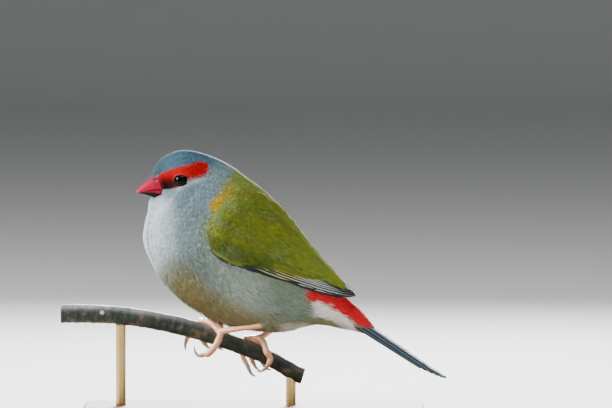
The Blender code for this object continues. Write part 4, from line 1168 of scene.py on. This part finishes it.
bill_material, nodes, shader = new_material("polished bill", 0.36, Specular_IOR_Level=0.14)
grain = grained(nodes, 900.0, 4.0, (0.25, 1.0, 1.0), 0.2, 0.00005)
toned = nodes.scaled(nodes.attribute("horn"), nodes.between(grain["Grain"], 0.80, 1.18))
rough = nodes.between(grain["Grain"], 0.26, 0.46)
nodes.fill(shader, {"Base Color": toned, "Roughness": rough, "Normal": grain["Normal"]})


def face_front(z):
    """Where the front of the face lies at a height, on the bird's middle line."""
    f = (z - BODY[0][3]) / (BODY[0][1] - BODY[0][3])
    c = np.clip(2 * f - 1, -1.0, 1.0)
    return BODY[0][2] + f * (BODY[0][0] - BODY[0][2]) + BODY[0][6] * (1 - c * c)


def bill_half(name, rows, upper, node):
    """One half of the bill, from its root in the feathers of the face to its tip."""
    place = [0.0] + [BILL_ROOT + abs(row[0] - rows[1][0]) for row in rows[1:]]
    t = np.linspace(0, 1, BILL_RINGS) ** 0.8 * place[-1]
    top, bottom, wide = (np.interp(t, place, [row[k] for row in rows]) for k in (1, 2, 3))
    for _ in range(3):
        for line in (top, bottom, wide):
            line[1:-1] = 0.25 * line[:-2] + 0.5 * line[1:-1] + 0.25 * line[2:]
    points = []
    tones = []
    a = np.linspace(0, 2 * pi, BILL_SIDES, endpoint=False)
    above = np.maximum(np.cos(a), 0.0)
    beneath = np.maximum(-np.cos(a), 0.0)
    for i in range(BILL_RINGS):
        deep = top[i] - bottom[i]
        y = -wide[i] * np.sin(a)
        if upper:
            z = bottom[i] + deep * above**0.9 - 0.08 * beneath
        else:
            z = top[i] - deep * beneath**0.8 + 0.06 * above
        share = min(t[i] / BILL_ROOT, 1.0)
        x = (face_front(z) - 0.05) * (1 - share) + share * (rows[1][0] - max(t[i] - BILL_ROOT, 0.0))
        if upper:
            dip = np.exp(-(((x - NOSTRIL[0]) / 0.5) ** 2) - (((z - NOSTRIL[1]) / 0.3) ** 2))
            dip = dip * (z > bottom[i] + 0.3)
            y = y * (1 - 0.30 * dip)
            ridge = np.interp(x, [-34.6, -30.4], [0.97, 0.70])
            dark = soft_step(ridge - 0.06, ridge + 0.14, (z - bottom[i]) / (deep + 1e-6))
            # Painted shade: the nostril's hollow takes the dusky colour too.
            dark = np.maximum(dark * soft_step(-34.6, -32.0, x), np.clip(1.25 * dip, 0, 1))
        else:
            edge = np.interp(x, [-34.8, -33.0, -31.0, -29.6, -28.4], [0.16, 0.24, 0.32, 0.50, 0.86])
            dark = soft_step(edge - 0.08, edge + 0.10, (top[i] - z) / (deep + 1e-6))
            dark = dark * soft_step(-28.5, -29.3, x)
        points.append(turned(x, y, z, 0 * x))
        tones.append(mix(BILL_RED, BILL_DUSK if upper else BILL_BLACK, dark))
    obj = outward(mesh_of(name, np.concatenate(points), ring_faces(BILL_RINGS, BILL_SIDES)))
    paint(obj, "horn", np.concatenate(tones))
    dress(obj, bill_material, "bill", node)


bill_half("bill_top", UPPER_ROWS, True, "bill_upper")
bill_half("bill_under", LOWER_ROWS, False, "bill_lower")


# Eyes: glossy dark globes, each set back in a narrow ring of bare grey lid that closes
# the gap between it and the feathers of the face.
EYE_RADIUS = 2.32
EYE_RINGS = 40
EYE_SIDES = 48
EYE_SET_IN = 1.60
LID_OPENING = (2.08, 1.52)
LID_OUTLINE = (2.75, 2.25)
LID_TURNS = 96
LID_SIDES = 20
LID_RIM = (0.004, 0.006, 0.006)
eye_material, nodes, shader = new_material("eye", 0.04, Specular_IOR_Level=0.08)
iris = nodes.ramp(
    nodes.attribute("iris", "Fac"),
    (0.0, (0.020, 0.006, 0.004, 1.0)),
    (0.62, (0.022, 0.005, 0.003, 1.0)),
    (0.72, (0.001, 0.001, 0.001, 1.0)),
    (1.0, (0.001, 0.001, 0.001, 1.0)),
)
nodes.fill(shader, {"Base Color": iris})
lid_material, nodes, shader = new_material("bare lid", 0.65, Specular_IOR_Level=0.12)
grain = grained(nodes, 3500.0, relief=0.5, depth=0.00008)
toned = nodes.scaled(nodes.attribute("plumage"), nodes.between(grain["Grain"], 0.7, 1.3))
nodes.fill(shader, {"Base Color": toned, "Normal": grain["Normal"]})


def body_depth(x, z):
    """(station, half width) of the body where the side view shows x, z."""
    best = (1e9, 0.0, 0.0)
    for s in np.linspace(0, 5, 501):
        a = np.linspace(0.05, pi - 0.05, 241)
        px, py, pz = body_at(BODY_TABLE, np.full(a.shape, s), a)
        far = np.hypot(px - x, pz - z)
        i = int(np.argmin(far))
        if far[i] < best[0]:
            best = (far[i], s, abs(py[i]))
    return best[1], best[2]


eye_station, eye_depth = body_depth(*EYE)
near_eye, side_of_head = np.meshgrid(np.linspace(0, 5, 401), np.linspace(0.3, pi - 0.3, 181), indexing="ij")
for word, side in (("left", -1), ("right", 1)):
    out = unit(np.array([-0.50, side * 1.0, 0.10]))
    centre = np.array([EYE[0], side * eye_depth, EYE[1]]) - EYE_SET_IN * out
    tip = centre + out
    centre = turned(*centre, np.array(0.0))
    axis = unit(turned(*tip, np.array(0.0)) - centre)
    along = unit(np.cross(axis, [0, 0, 1.0]))
    rise = np.cross(along, axis)
    rise *= 1 if rise[2] > 0 else -1
    points = []
    shade = []
    for i in range(1, EYE_RINGS):
        c = pi * i / EYE_RINGS
        for j in range(EYE_SIDES):
            a = 2 * pi * j / EYE_SIDES
            points.append(centre + EYE_RADIUS * (axis * cos(c) + sin(c) * (along * cos(a) + rise * sin(a))))
            shade.append(0.5 + 0.5 * cos(c))
    points += [centre + EYE_RADIUS * axis, centre - EYE_RADIUS * axis]
    shade += [1.0, 0.0]
    faces = bands(EYE_RINGS - 1, EYE_SIDES)
    last_ring = (EYE_RINGS - 2) * EYE_SIDES
    for j in range(EYE_SIDES):
        k = (j + 1) % EYE_SIDES
        faces.append((len(points) - 2, k, j))
        faces.append((len(points) - 1, last_ring + j, last_ring + k))
    eye = outward(mesh_of(f"eye_globe_{word}", points, faces))
    paint(eye, "iris", shade, "FLOAT")
    dress(eye, eye_material, "eyes", f"eye_{word}")

    # The lid runs from the globe to the feathers round it, and is wider and darker at the rear.
    face_points = turned(*body_at(BODY_TABLE, near_eye, -side * side_of_head), near_eye).reshape(-1, 3)
    points = []
    tones = []
    for j in range(LID_TURNS):
        a = 2 * pi * j / LID_TURNS
        forward = -cos(a) if along[0] > 0 else cos(a)
        rear = max(0.0, -forward) ** 6
        inner = along * (LID_OPENING[0] + 0.42 * rear) * cos(a)
        inner = inner + rise * (LID_OPENING[1] * sin(a) + 0.12 * rear)
        outer_rim = along * (LID_OUTLINE[0] + 0.20 * rear) * cos(a) + rise * LID_OUTLINE[1] * sin(a)
        from_rim = face_points - (centre + outer_rim)
        above_rim = from_rim @ axis
        off_line = np.linalg.norm(from_rim - above_rim[:, None] * axis, axis=1) + 100.0 * (above_rim < 0)
        high_inner = sqrt(max(0.04, EYE_RADIUS**2 - float(inner @ inner))) + 0.08
        high_outer = float(above_rim[int(np.argmin(off_line))]) - 0.48
        for i in range(LID_SIDES):
            b = 2 * pi * i / LID_SIDES
            t = 0.5 - 0.5 * cos(b)
            thick = 0.06 + 0.08 * sin(pi * min(1.0, t * 3.0) / 2) * (1 - t) ** 0.7
            swell = (thick if sin(b) > 0 else -0.10) * abs(sin(b)) ** 0.5
            up = high_inner + (high_outer - high_inner) * t + swell
            points.append(centre + inner + (outer_rim - inner) * t + axis * up)
            x = EYE[0] - forward * (2.02 + 0.7 * t)
            z = EYE[1] + sin(a) * (1.52 + 0.9 * t)
            bare = plumage(*(np.array(value) for value in (x, side * eye_depth, z, eye_station)))
            tones.append(mix(LID_RIM, 0.72 * bare, soft_step(0.30 + 0.30 * rear, 0.60 + 0.30 * rear, t)))
    lid = outward(mesh_of(f"lid_ring_{word}", points, bands(LID_TURNS, LID_SIDES, 1)))
    paint(lid, "plumage", tones)
    dress(lid, lid_material, "eyes")


# Branch, cut to a short length: smooth grey-brown bark with fine rings, small specks
# and russet patches, and a clean saw cut at each end.
# Each row is x, the height of the middle line and the radius.
PERCH = [
    (-58.82, 34.0, 2.90), (-55.5, 34.0, 2.88), (-51.1, 34.0, 2.85), (-42.2, 33.65, 2.76),
    (-32.5, 32.35, 2.72), (-21.2, 30.0, 2.80), (-13.3, 27.5, 2.62), (-3.8, 24.0, 2.45),
    (3.2, 21.2, 2.35), (7.5, 18.9, 2.40), (15.1, 14.2, 2.50),
]
PERCH_RINGS = 320
PERCH_SIDES = 72
PERCH_EASE = 35


def perch_at(x):
    """Height of the branch's middle line and its radius at x."""
    xs, heights, radii = zip(*PERCH)
    return float(np.interp(x, xs, heights)), float(np.interp(x, xs, radii))


def rings_round(path, radii, sides, squash=1.0):
    """Rings of points round a path, each turned as little as can be from the one before."""
    path = np.array(path, float)
    way = np.gradient(path, axis=0)
    way /= np.linalg.norm(way, axis=1, keepdims=True)
    side = np.cross(way[0], [0.0, 1.0, 0.0])
    if np.linalg.norm(side) < 0.2:
        side = np.cross(way[0], [1.0, 0.0, 0.0])
    rings = []
    for i, p in enumerate(path):
        side = side - (side @ way[i]) * way[i]
        side /= np.linalg.norm(side)
        other = np.cross(way[i], side)
        a = np.linspace(0, 2 * pi, sides, endpoint=False)[:, None]
        r = np.broadcast_to(np.asarray(radii[i], float), (sides,))[:, None]
        rings.append(p + r * (np.cos(a) * side + squash * np.sin(a) * other))
    return rings


xs = np.linspace(PERCH[0][0], PERCH[-1][0], PERCH_RINGS)
heights = np.pad([perch_at(x)[0] for x in xs], PERCH_EASE // 2, "edge")
middle = np.convolve(heights, np.ones(PERCH_EASE) / PERCH_EASE, "valid")
radii = []
for i, x in enumerate(xs):
    r = perch_at(x)[1] + 0.07 * sin(x * 1.9) * sin(x * 0.63 + 1.0)
    row = []
    for a in (2 * pi * j / PERCH_SIDES for j in range(PERCH_SIDES)):
        p = Vector((x * 0.30, cos(a) * 0.9, sin(a) * 0.9))
        rough = 0.05 * noise.noise(p * 2.2)
        rough += 0.035 * noise.noise(Vector((x * 2.6, cos(a) * 1.1, sin(a) * 1.1)))
        rough += 0.05 * max(0.0, noise.noise(Vector((x * 0.9, cos(a) * 3.0, sin(a) * 3.0 + 7.0))) - 0.25)
        row.append(r - 0.03 + rough)
    from_end = min(i, PERCH_RINGS - 1 - i)
    radii.append(np.array(row) * (1.0 - 0.05 * max(0.0, 1.0 - from_end / 1.5)))
points = np.concatenate(rings_round(np.stack([xs, 0 * xs, middle], -1), radii, PERCH_SIDES))
perch = outward(mesh_of("branch", points, ring_faces(PERCH_RINGS, PERCH_SIDES)))
corners = corner_points(perch)
around = (corners % PERCH_SIDES) / PERCH_SIDES * 16.0
unwrap(perch, "bark", np.stack([(corners // PERCH_SIDES) * (xs[1] - xs[0]), around], -1))
# Painted light: each point stores how high it stands on the branch, so that the top can be painted paler.
above = points[:, 2] - np.repeat(middle, PERCH_SIDES)
paint(perch, "upper", np.clip(above / 2.4, 0.0, 1.0) ** 2.6 * 1.3, "FLOAT")
bark, nodes, shader = new_material("bark", 0.66, Specular_IOR_Level=0.25)
fine = grained(nodes, 2600.0, 5.0, (1.0, 0.16, 0.16), 0.45, 0.00012)
blotch = grained(nodes, 330.0, 4.0)["Grain"]
where = nodes.add("ShaderNodeTexCoord")["Object"]
speck = nodes.add("ShaderNodeTexVoronoi", {"Vector": where, "Scale": 150.0})["Distance"]
tones = nodes.math("MULTIPLY_ADD", fine["Grain"], 0.45, nodes.math("MULTIPLY", blotch, 0.55))
tones = nodes.ramp(tones, (0.34, (0.003, 0.006, 0.003, 1.0)), (0.68, (0.048, 0.058, 0.042, 1.0)))
# Painted highlight: the top of the branch turns pale grey in patches, where the light falls on it.
painted_top_highlight = nodes.math("MULTIPLY", nodes.attribute("upper", "Fac"), blotch)
tones = nodes.blend(painted_top_highlight, tones, (0.400, 0.410, 0.430, 1.0))
tones = nodes.blend(nodes.between(blotch, 0.0, 0.7, 0.56, 0.66), tones, (0.140, 0.078, 0.040, 1.0))
tones = nodes.blend(nodes.between(speck, 0.0, 0.8, 0.13, 0.07), tones, (0.55, 0.54, 0.50, 1.0))
nodes.fill(shader, {"Base Color": tones, "Normal": fine["Normal"]})
dress(perch, bark, "branch", "perch")


# Legs and feet: thin scaled shanks and toes of pinkish flesh, the toes closed round
# the branch, each ending in a slim curved claw of grey-pink horn.
LEGS = {
    "left": {
        "tarsus": [(3.0, -9.3, 30.9), (-3.2, -6.6, 29.9), (-8.9, -3.9, 28.9)],
        "pad": (-10.2, -3.0, 28.5),
        "sole": [(-9.8, -2.2, 28.6), (-12.0, -0.6, 30.2), (-14.4, 0.8, 30.9)],
        "toes": {
            "hind": (
                [
                    (-10.0, -3.4, 28.0), (-10.6, -4.2, 26.2), (-11.8, -4.2, 24.1), (-13.3, -3.5, 22.3),
                    (-14.7, -2.6, 21.6),
                ],
                [1.0, 0.98, 1.02, 1.08, 1.0],
                [(-16.7, -2.1, 21.3), (-17.8, -2.0, 22.4), (-18.2, -2.0, 24.4)],
            ),
            "outer": (
                [
                    (-10.8, -2.6, 28.9), (-13.4, -0.6, 30.9), (-16.4, 1.9, 31.4), (-18.8, 3.2, 30.2),
                    (-20.0, 3.9, 28.2), (-20.2, 3.6, 26.6),
                ],
                [0.95, 0.9, 0.85, 0.85, 0.8, 0.7],
                [(-20.9, 3.0, 24.4), (-20.7, 2.2, 22.5)],
            ),
            "middle": (
                [
                    (-10.4, -2.2, 29.2), (-12.4, 0.2, 31.3), (-14.6, 2.6, 30.6), (-15.8, 4.0, 28.4),
                    (-15.9, 3.9, 26.4), (-15.2, 3.2, 24.9),
                ],
                [0.95, 0.9, 0.85, 0.85, 0.8, 0.7],
                [(-13.9, 1.7, 23.6), (-12.5, 0.5, 23.2)],
            ),
            "inner": (
                [
                    (-9.6, -2.4, 29.0), (-10.4, 0.6, 30.4), (-11.4, 3.0, 29.0), (-12.0, 4.2, 27.0),
                    (-11.7, 3.8, 25.0),
                ],
                [0.9, 0.85, 0.8, 0.8, 0.7],
                [(-10.5, 2.6, 23.3), (-9.1, 1.5, 22.8)],
            ),
        },
    },
    "right": {
        "tarsus": [(9.6, 8.2, 30.6), (5.6, 4.6, 28.6), (2.6, 1.6, 26.9)],
        "pad": (1.6, 0.2, 26.4),
        "sole": [(3.2, 0.9, 24.0), (1.2, 0.9, 25.2), (-1.0, 1.2, 25.8), (-3.0, 1.8, 26.2)],
        "toes": {
            "hind": (
                [
                    (2.0, -0.6, 26.2), (3.2, -2.8, 24.9), (4.0, -3.9, 22.6), (5.1, -3.3, 20.4),
                    (4.6, -2.6, 18.6),
                ],
                [1.0, 0.95, 0.95, 0.9, 0.75],
                [(2.8, -1.9, 16.7), (0.7, -1.5, 16.4)],
            ),
            "inner": (
                [
                    (1.0, 0.6, 26.4), (-1.2, 1.8, 26.3), (-2.9, 3.0, 25.4), (-3.8, 3.7, 23.2),
                    (-3.3, 3.4, 20.6), (-2.0, 2.8, 18.2),
                ],
                [0.9, 0.85, 0.85, 0.8, 0.75, 0.7],
                [(-0.8, 2.3, 15.6), (1.0, 1.8, 14.5)],
            ),
            "middle": (
                [
                    (1.6, 1.0, 26.3), (0.6, 2.4, 26.0), (-0.6, 3.7, 24.2), (-1.1, 4.2, 21.8),
                    (-0.5, 3.6, 19.4),
                ],
                [0.95, 0.9, 0.85, 0.8, 0.7],
                [(0.8, 2.7, 17.2), (2.3, 2.0, 16.3)],
            ),
            "outer": (
                [
                    (2.4, 0.8, 26.0), (3.0, 2.6, 25.0), (2.4, 3.9, 23.0), (2.0, 4.0, 20.8),
                    (2.6, 3.4, 19.0),
                ],
                [0.9, 0.85, 0.8, 0.8, 0.7],
                [(4.0, 2.4, 17.1), (5.6, 1.7, 16.5)],
            ),
        },
    },
}
SHANK_WIDTHS = [0.74, 0.88, 0.84, 0.80, 0.80, 0.84, 0.9, 1.0]
CLAW_WIDTHS = [0.68, 0.64, 0.54, 0.42, 0.27, 0.05]
SHANK_SIDES = 28
TOE_SIDES = 24
TOE_POINTS = 41
CLAW_SIDES = 20
CLAW_POINTS = 24
SCUTE_SWELL = 0.8
THIGH_FEATHER = 2.3
THIGH_CROWDING = 22.0 / THIGH_FEATHER**2


def off_perch(p, thick):
    """Moves a point away from the branch until a toe of this thickness clears it."""
    p = np.array(p, float)
    for _ in range(6):
        z, radius = perch_at(p[0])
        slope = (perch_at(p[0] + 1.0)[0] - perch_at(p[0] - 1.0)[0]) / 2.0
        up = np.array([-slope, 0.0, 1.0]) / sqrt(1 + slope * slope)
        from_axis = p - np.array([p[0], 0.0, z])
        away = (from_axis @ up) * up + np.array([0.0, p[1], 0.0])
        far = np.linalg.norm(away)
        need = radius + 0.10 + 0.9 * thick
        if far >= need - 1e-3:
            return p
        p = p + away / far * (need - far)
    return p


def smooth_path(points, count):
    """Evenly spread points on a Catmull-Rom curve."""
    pts = [np.array(p, float) for p in points]
    pts = [2 * pts[0] - pts[1]] + pts + [2 * pts[-1] - pts[-2]]
    line = []
    for i in range(1, len(pts) - 2):
        line += [curve_point(*pts[i - 1 : i + 3], t) for t in np.linspace(0, 1, 9)[:-1]]
    line.append(pts[-2])
    far = np.concatenate([[0], np.cumsum([np.linalg.norm(b - a) for a, b in zip(line, line[1:])])])
    want = np.linspace(0, far[-1], count)
    return list(np.stack([np.interp(want, far, [p[k] for p in line]) for k in range(3)], -1))


def horn_or_flesh(name, dark, light, roughness, scale, coat):
    """Skin or horn that is darker in its grain, with painted light: lighter on its upper side and darker
    below.
    """
    material, nodes, shader = new_material(
        name, roughness, Specular_IOR_Level=0.45, Coat_Weight=coat, Coat_Roughness=0.3
    )
    grain = grained(nodes, scale, 5.0, relief=0.4)
    patchy = nodes.math("MULTIPLY_ADD", grain["Grain"], 0.5, -0.18)
    lit = nodes.math("MULTIPLY_ADD", nodes.attribute("upper", "Fac"), 0.95, patchy, use_clamp=True)
    nodes.fill(shader, {"Base Color": nodes.blend(lit, dark, light), "Normal": grain["Normal"]})
    return material


leg_skin = horn_or_flesh(
    "scaled leg skin", (0.50, 0.14, 0.04, 1.0), (1.0, 0.56, 0.36, 1.0), 0.28, 1300.0, 0.8
)
claw_horn = horn_or_flesh("claw horn", (0.22, 0.14, 0.09, 1.0), (0.56, 0.41, 0.29, 1.0), 0.32, 1600.0, 0.2)


class Joined:
    """Collects several closed tubes into one mesh."""

    def __init__(self):
        self.points, self.faces = [], []

    def add(self, points, rings, sides):
        base = len(self.points)
        self.points += list(points)
        self.faces += [tuple(base + v for v in face) for face in ring_faces(rings, sides)]

    def add_scaled(self, run, thick, sides, scute, deep=0.07):
        """A scaled tube: each scute swells to its lower edge and steps in at the next."""
        run = np.array(run)
        far = np.concatenate([[0], np.cumsum(np.linalg.norm(np.diff(run, axis=0), axis=1))])
        steps = np.linspace(0, far[-1], max(12, int(far[-1] / 0.14)))
        path = np.stack([np.interp(steps, far, run[:, k]) for k in range(3)], -1)
        for _ in range(2):
            path[1:-1] = 0.25 * path[:-2] + 0.5 * path[1:-1] + 0.25 * path[2:]
        phase = (steps / scute) % 1.0
        swell = np.where(phase < SCUTE_SWELL, phase / SCUTE_SWELL, (1 - phase) / (1 - SCUTE_SWELL))
        r = np.interp(steps, far, thick) * (1 + deep * (swell - 0.5))
        r[-3:] *= (0.96, 0.85, 0.55)
        self.add(np.concatenate(rings_round(path, r, sides)), len(path), sides)

    def finish(self, name, material, slot, *nodes):
        obj = outward(mesh_of(name, self.points, self.faces))
        # Painted light: each point stores how far it faces up, so the tops are painted lighter and the
        # undersides darker.
        paint(obj, "upper", [0.5 + 0.5 * v.normal.z for v in obj.data.vertices], "FLOAT")
        dress(obj, material, slot, *nodes)


for word, leg in LEGS.items():
    shank, feet, claws = Joined(), Joined(), Joined()
    top, shin, heel = (np.array(p) for p in leg["tarsus"])
    pad = np.array(leg["pad"])
    knee = top + (top - shin) * 0.12 + np.array([0.0, -0.35 * np.sign(top[1]), 0.25])
    widths = np.interp(np.linspace(0, 7, 34), range(8), SHANK_WIDTHS)
    shank.add_scaled(smooth_path([knee, top, shin, heel], 34), widths, SHANK_SIDES, 1.05, 0.05)
    shank.finish(f"shank_{word}", leg_skin, "legs", f"tarsus_{word}")
    start = heel - 0.4 * (heel - shin) / np.linalg.norm(heel - shin)
    run = smooth_path([start, 0.5 * (heel + pad), pad, pad + 0.6 * (pad - heel)], 12)
    feet.add_scaled(run, [1.0] * 4 + [1.15] * 4 + [1.2, 1.15, 1.0, 0.7], SHANK_SIDES, 0.9)
    run = smooth_path([off_perch(p, 0.8) for p in leg["sole"]], 16)
    feet.add_scaled(run, [0.7] + [0.85] * 14 + [0.6], TOE_SIDES, 0.7)
    for path, toe_radii, claw in leg["toes"].values():
        path = [pad * 0.5 + np.array(path[0]) * 0.5] + [off_perch(p, r) for p, r in zip(path, toe_radii)]
        run = smooth_path(path, TOE_POINTS)
        joints = np.linspace(0, 1, len(path))
        thick = []
        for i, p in enumerate(run):
            r = float(np.interp(i / (TOE_POINTS - 1), joints, toe_radii[:1] + toe_radii))
            thick.append(r * (1.0 + 0.07 * cos(i * 2.1 / 4)))
            run[i] = off_perch(p, thick[-1])
        feet.add_scaled(run, thick, TOE_SIDES, 0.62)
        curve = smooth_path([run[-1]] + [off_perch(p, 0.5) for p in claw], CLAW_POINTS)
        curve = [off_perch(p, 0.35) for p in curve]
        horn = np.interp(np.linspace(0, 5, CLAW_POINTS), range(6), CLAW_WIDTHS)
        claws.add(np.concatenate(rings_round(curve, horn, CLAW_SIDES, 0.82)), CLAW_POINTS, CLAW_SIDES)
    feet.finish(f"toes_{word}", leg_skin, "legs", f"foot_{word}")
    claws.finish(f"claw_set_{word}", claw_horn, "claws", *[f"claw_{word}_{toe}" for toe in leg["toes"]])

    # Feathers of the thigh, down to the heel.
    path = smooth_path(THIGHS[0 if word == "left" else 1], 14)
    path.append(path[-1] + 0.6 * (path[-1] - path[-2]))
    rings, sides = len(path), 32
    widths = np.interp(np.arange(rings), [0, 5, 10, 14], [3.2, 2.7, 2.0, 1.25])
    points = np.concatenate(rings_round(path, widths, sides))
    patch = outward(mesh_of(f"thigh_patch_{word}", points, ring_faces(rings, sides)))
    down = np.repeat(unit(np.gradient(np.array(path), axis=0)), sides, axis=0)
    feather_bed(patch, mix(BUFF, FLANK_REAR, 0.45), down, THIGH_FEATHER, THIGH_CROWDING, 0.10, 8.0)
    corners = corner_points(patch)
    u = (0.44 if word == "left" else 0.52) + 0.04 * (corners % sides) / sides
    unwrap(patch, "skin_uv", np.stack([u, 0.66 + 0.003 * (corners // sides)], -1))
    lay_feathers(f"thigh_feathers_{word}", patch, "breast_feathers", Seed=61, Stray_angle=0.2)
    bpy.data.objects.remove(patch, do_unlink=True)
for obj in list(shapes.objects):
    bpy.data.objects.remove(obj, do_unlink=True)
bpy.data.collections.remove(shapes)


# Stand: a low base of oiled walnut with eased edges, and two short turned brass rods
# that end in the underside of the branch.
BASE = (104.0, 58.0, 6.0)
BASE_CORNER = 9.0
CORNER_STEPS = 25
ROD_RADIUS = 1.5
ROD_RINGS = 30
ROD_SIDES = 48
profile = [(0.7, 0.0), (0.2, 0.15), (0.0, 0.6), (0.0, 4.6)]
profile += [(1.0 - cos(a), 5.0 + sin(a)) for a in np.linspace(0.15, pi / 2, 9)]
points = []
for inset, z in profile:
    r = BASE_CORNER - inset
    for quarter, (cx, cy) in enumerate(((1, 1), (-1, 1), (-1, -1), (1, -1))):
        x = cx * (BASE[0] / 2 - BASE_CORNER)
        y = cy * (BASE[1] / 2 - BASE_CORNER)
        for a in np.linspace(0, pi / 2, CORNER_STEPS) + pi / 2 * quarter:
            points.append((x + r * cos(a), y + r * sin(a), z))
count = 4 * CORNER_STEPS
faces = bands(len(profile), count)
faces += [tuple(range(count)), tuple(range(len(points) - count, len(points)))]
base = outward(mesh_of("walnut_base", points, faces))
walnut, nodes, shader = new_material("oiled walnut", 0.70, Specular_IOR_Level=0.12)
grain = grained(nodes, 260.0, 6.0, (0.09, 1.0, 1.0), 0.25, 0.00012, 0.6)
figure = nodes.ramp(grain["Grain"], (0.32, (0.045, 0.022, 0.012, 1.0)), (0.70, (0.175, 0.095, 0.050, 1.0)))
nodes.fill(shader, {"Base Color": figure, "Normal": grain["Normal"]})
dress(base, walnut, "stand_base", "stand_base")
brass, nodes, shader = new_material("satin brass", 0.32, Metallic=1.0)
marks = grained(nodes, 1500.0, stretch=(0.3, 0.3, 3.0))["Grain"]
tarnish = nodes.blend(marks, (0.46, 0.30, 0.11, 1.0), (0.68, 0.50, 0.22, 1.0))
nodes.fill(shader, {"Base Color": tarnish, "Roughness": nodes.between(marks, 0.22, 0.42)})
for word, x in (("front", -40.5), ("rear", 11.4)):
    top, radius = perch_at(x)
    path = [(x, 0.0, z) for z in np.linspace(BASE[2] - 0.3, top - radius + 0.5, ROD_RINGS)]
    points = np.concatenate(rings_round(path, [ROD_RADIUS] * ROD_RINGS, ROD_SIDES))
    rod = outward(mesh_of(f"brass_rod_{word}", points, ring_faces(ROD_RINGS, ROD_SIDES)))
    dress(rod, brass, "stand_rods", f"stand_rod_{word}")


# Floor, light and camera.  A pale sweep under a large soft light, with a lower
# fill from the front and a band of light behind that edges the back.
FLOOR_FRONT = -6000.0
FLOOR_HALF_WIDTH = 5000.0
SWEEP_FROM = 4200.0
SWEEP_RADIUS = 900.0
WALL_TOP = 6000.0
floor_points = [(FLOOR_FRONT, 0.0)]
for a in np.linspace(0, pi / 2, 13):
    floor_points.append((SWEEP_FROM + SWEEP_RADIUS * sin(a), SWEEP_RADIUS - SWEEP_RADIUS * cos(a)))
floor_points.append((SWEEP_FROM + SWEEP_RADIUS, WALL_TOP))
points = [(x, y, z) for x in (-FLOOR_HALF_WIDTH, FLOOR_HALF_WIDTH) for y, z in floor_points]
count = len(floor_points)
sweep = mesh_of("studio_floor", points, [(i, i + 1, count + i + 1, count + i) for i in range(count - 1)])
pale, _, _ = new_material("pale studio floor", 0.9, Base_Color=(0.62, 0.62, 0.61, 1.0))
sweep.data.materials.append(pale)

world = bpy.data.worlds.new("studio")
world.use_nodes = True
Nodes(world.node_tree).fill(
    world.node_tree.nodes["Background"], {"Color": (0.93, 0.97, 1.0, 1.0), "Strength": 0.20}
)
bpy.context.scene.world = world


def area_light(name, place, aim, size, power, colour, spread=180.0):
    """A rectangular light, its size given as width and height in metres, turned to shine at aim."""
    lamp = bpy.data.lights.new(name, "AREA")
    lamp.shape = "RECTANGLE"
    lamp.size, lamp.size_y = size
    lamp.energy = power
    lamp.color = colour
    lamp.spread = radians(spread)
    obj = bpy.data.objects.new(name, lamp)
    obj.location = place
    obj.rotation_euler = (Vector(aim) - Vector(place)).to_track_quat("-Z", "Y").to_euler()
    bpy.context.scene.collection.objects.link(obj)


area_light("key", (-1.25, -0.22, 0.68), (0.0, 0.0, 0.05), (0.5, 0.5), 50.0, (1.0, 0.99, 0.97))
area_light("top", (0.05, -0.25, 1.2), (0.0, 0.0, 0.05), (0.7, 0.7), 14.0, (0.97, 0.99, 1.0))
area_light("edge", (0.12, 1.30, 0.50), (0.0, 0.0, 0.06), (0.5, 0.2), 9.0, (0.97, 0.98, 1.0), 45.0)
area_light("fill", (0.5, -1.2, 0.45), (0.0, 0.0, 0.05), (0.8, 0.8), 2.5, (1.0, 1.0, 1.0))

SENSOR = 36.0
DISTANCE = 2.5
VIEW_WIDTH = 0.1867
camera = bpy.data.objects.new("camera", bpy.data.cameras.new("camera"))
camera.data.sensor_width = SENSOR
camera.data.lens = SENSOR * DISTANCE / VIEW_WIDTH
camera.data.clip_end = 50.0
aim = Vector((0.01600, 0.0, 0.06744))
tilt = radians(2.0)
camera.location = aim + DISTANCE * Vector((0.0, -cos(tilt), sin(tilt)))
camera.rotation_euler = (aim - camera.location).to_track_quat("-Z", "Y").to_euler()
bpy.context.scene.collection.objects.link(camera)
bpy.context.scene.camera = camera
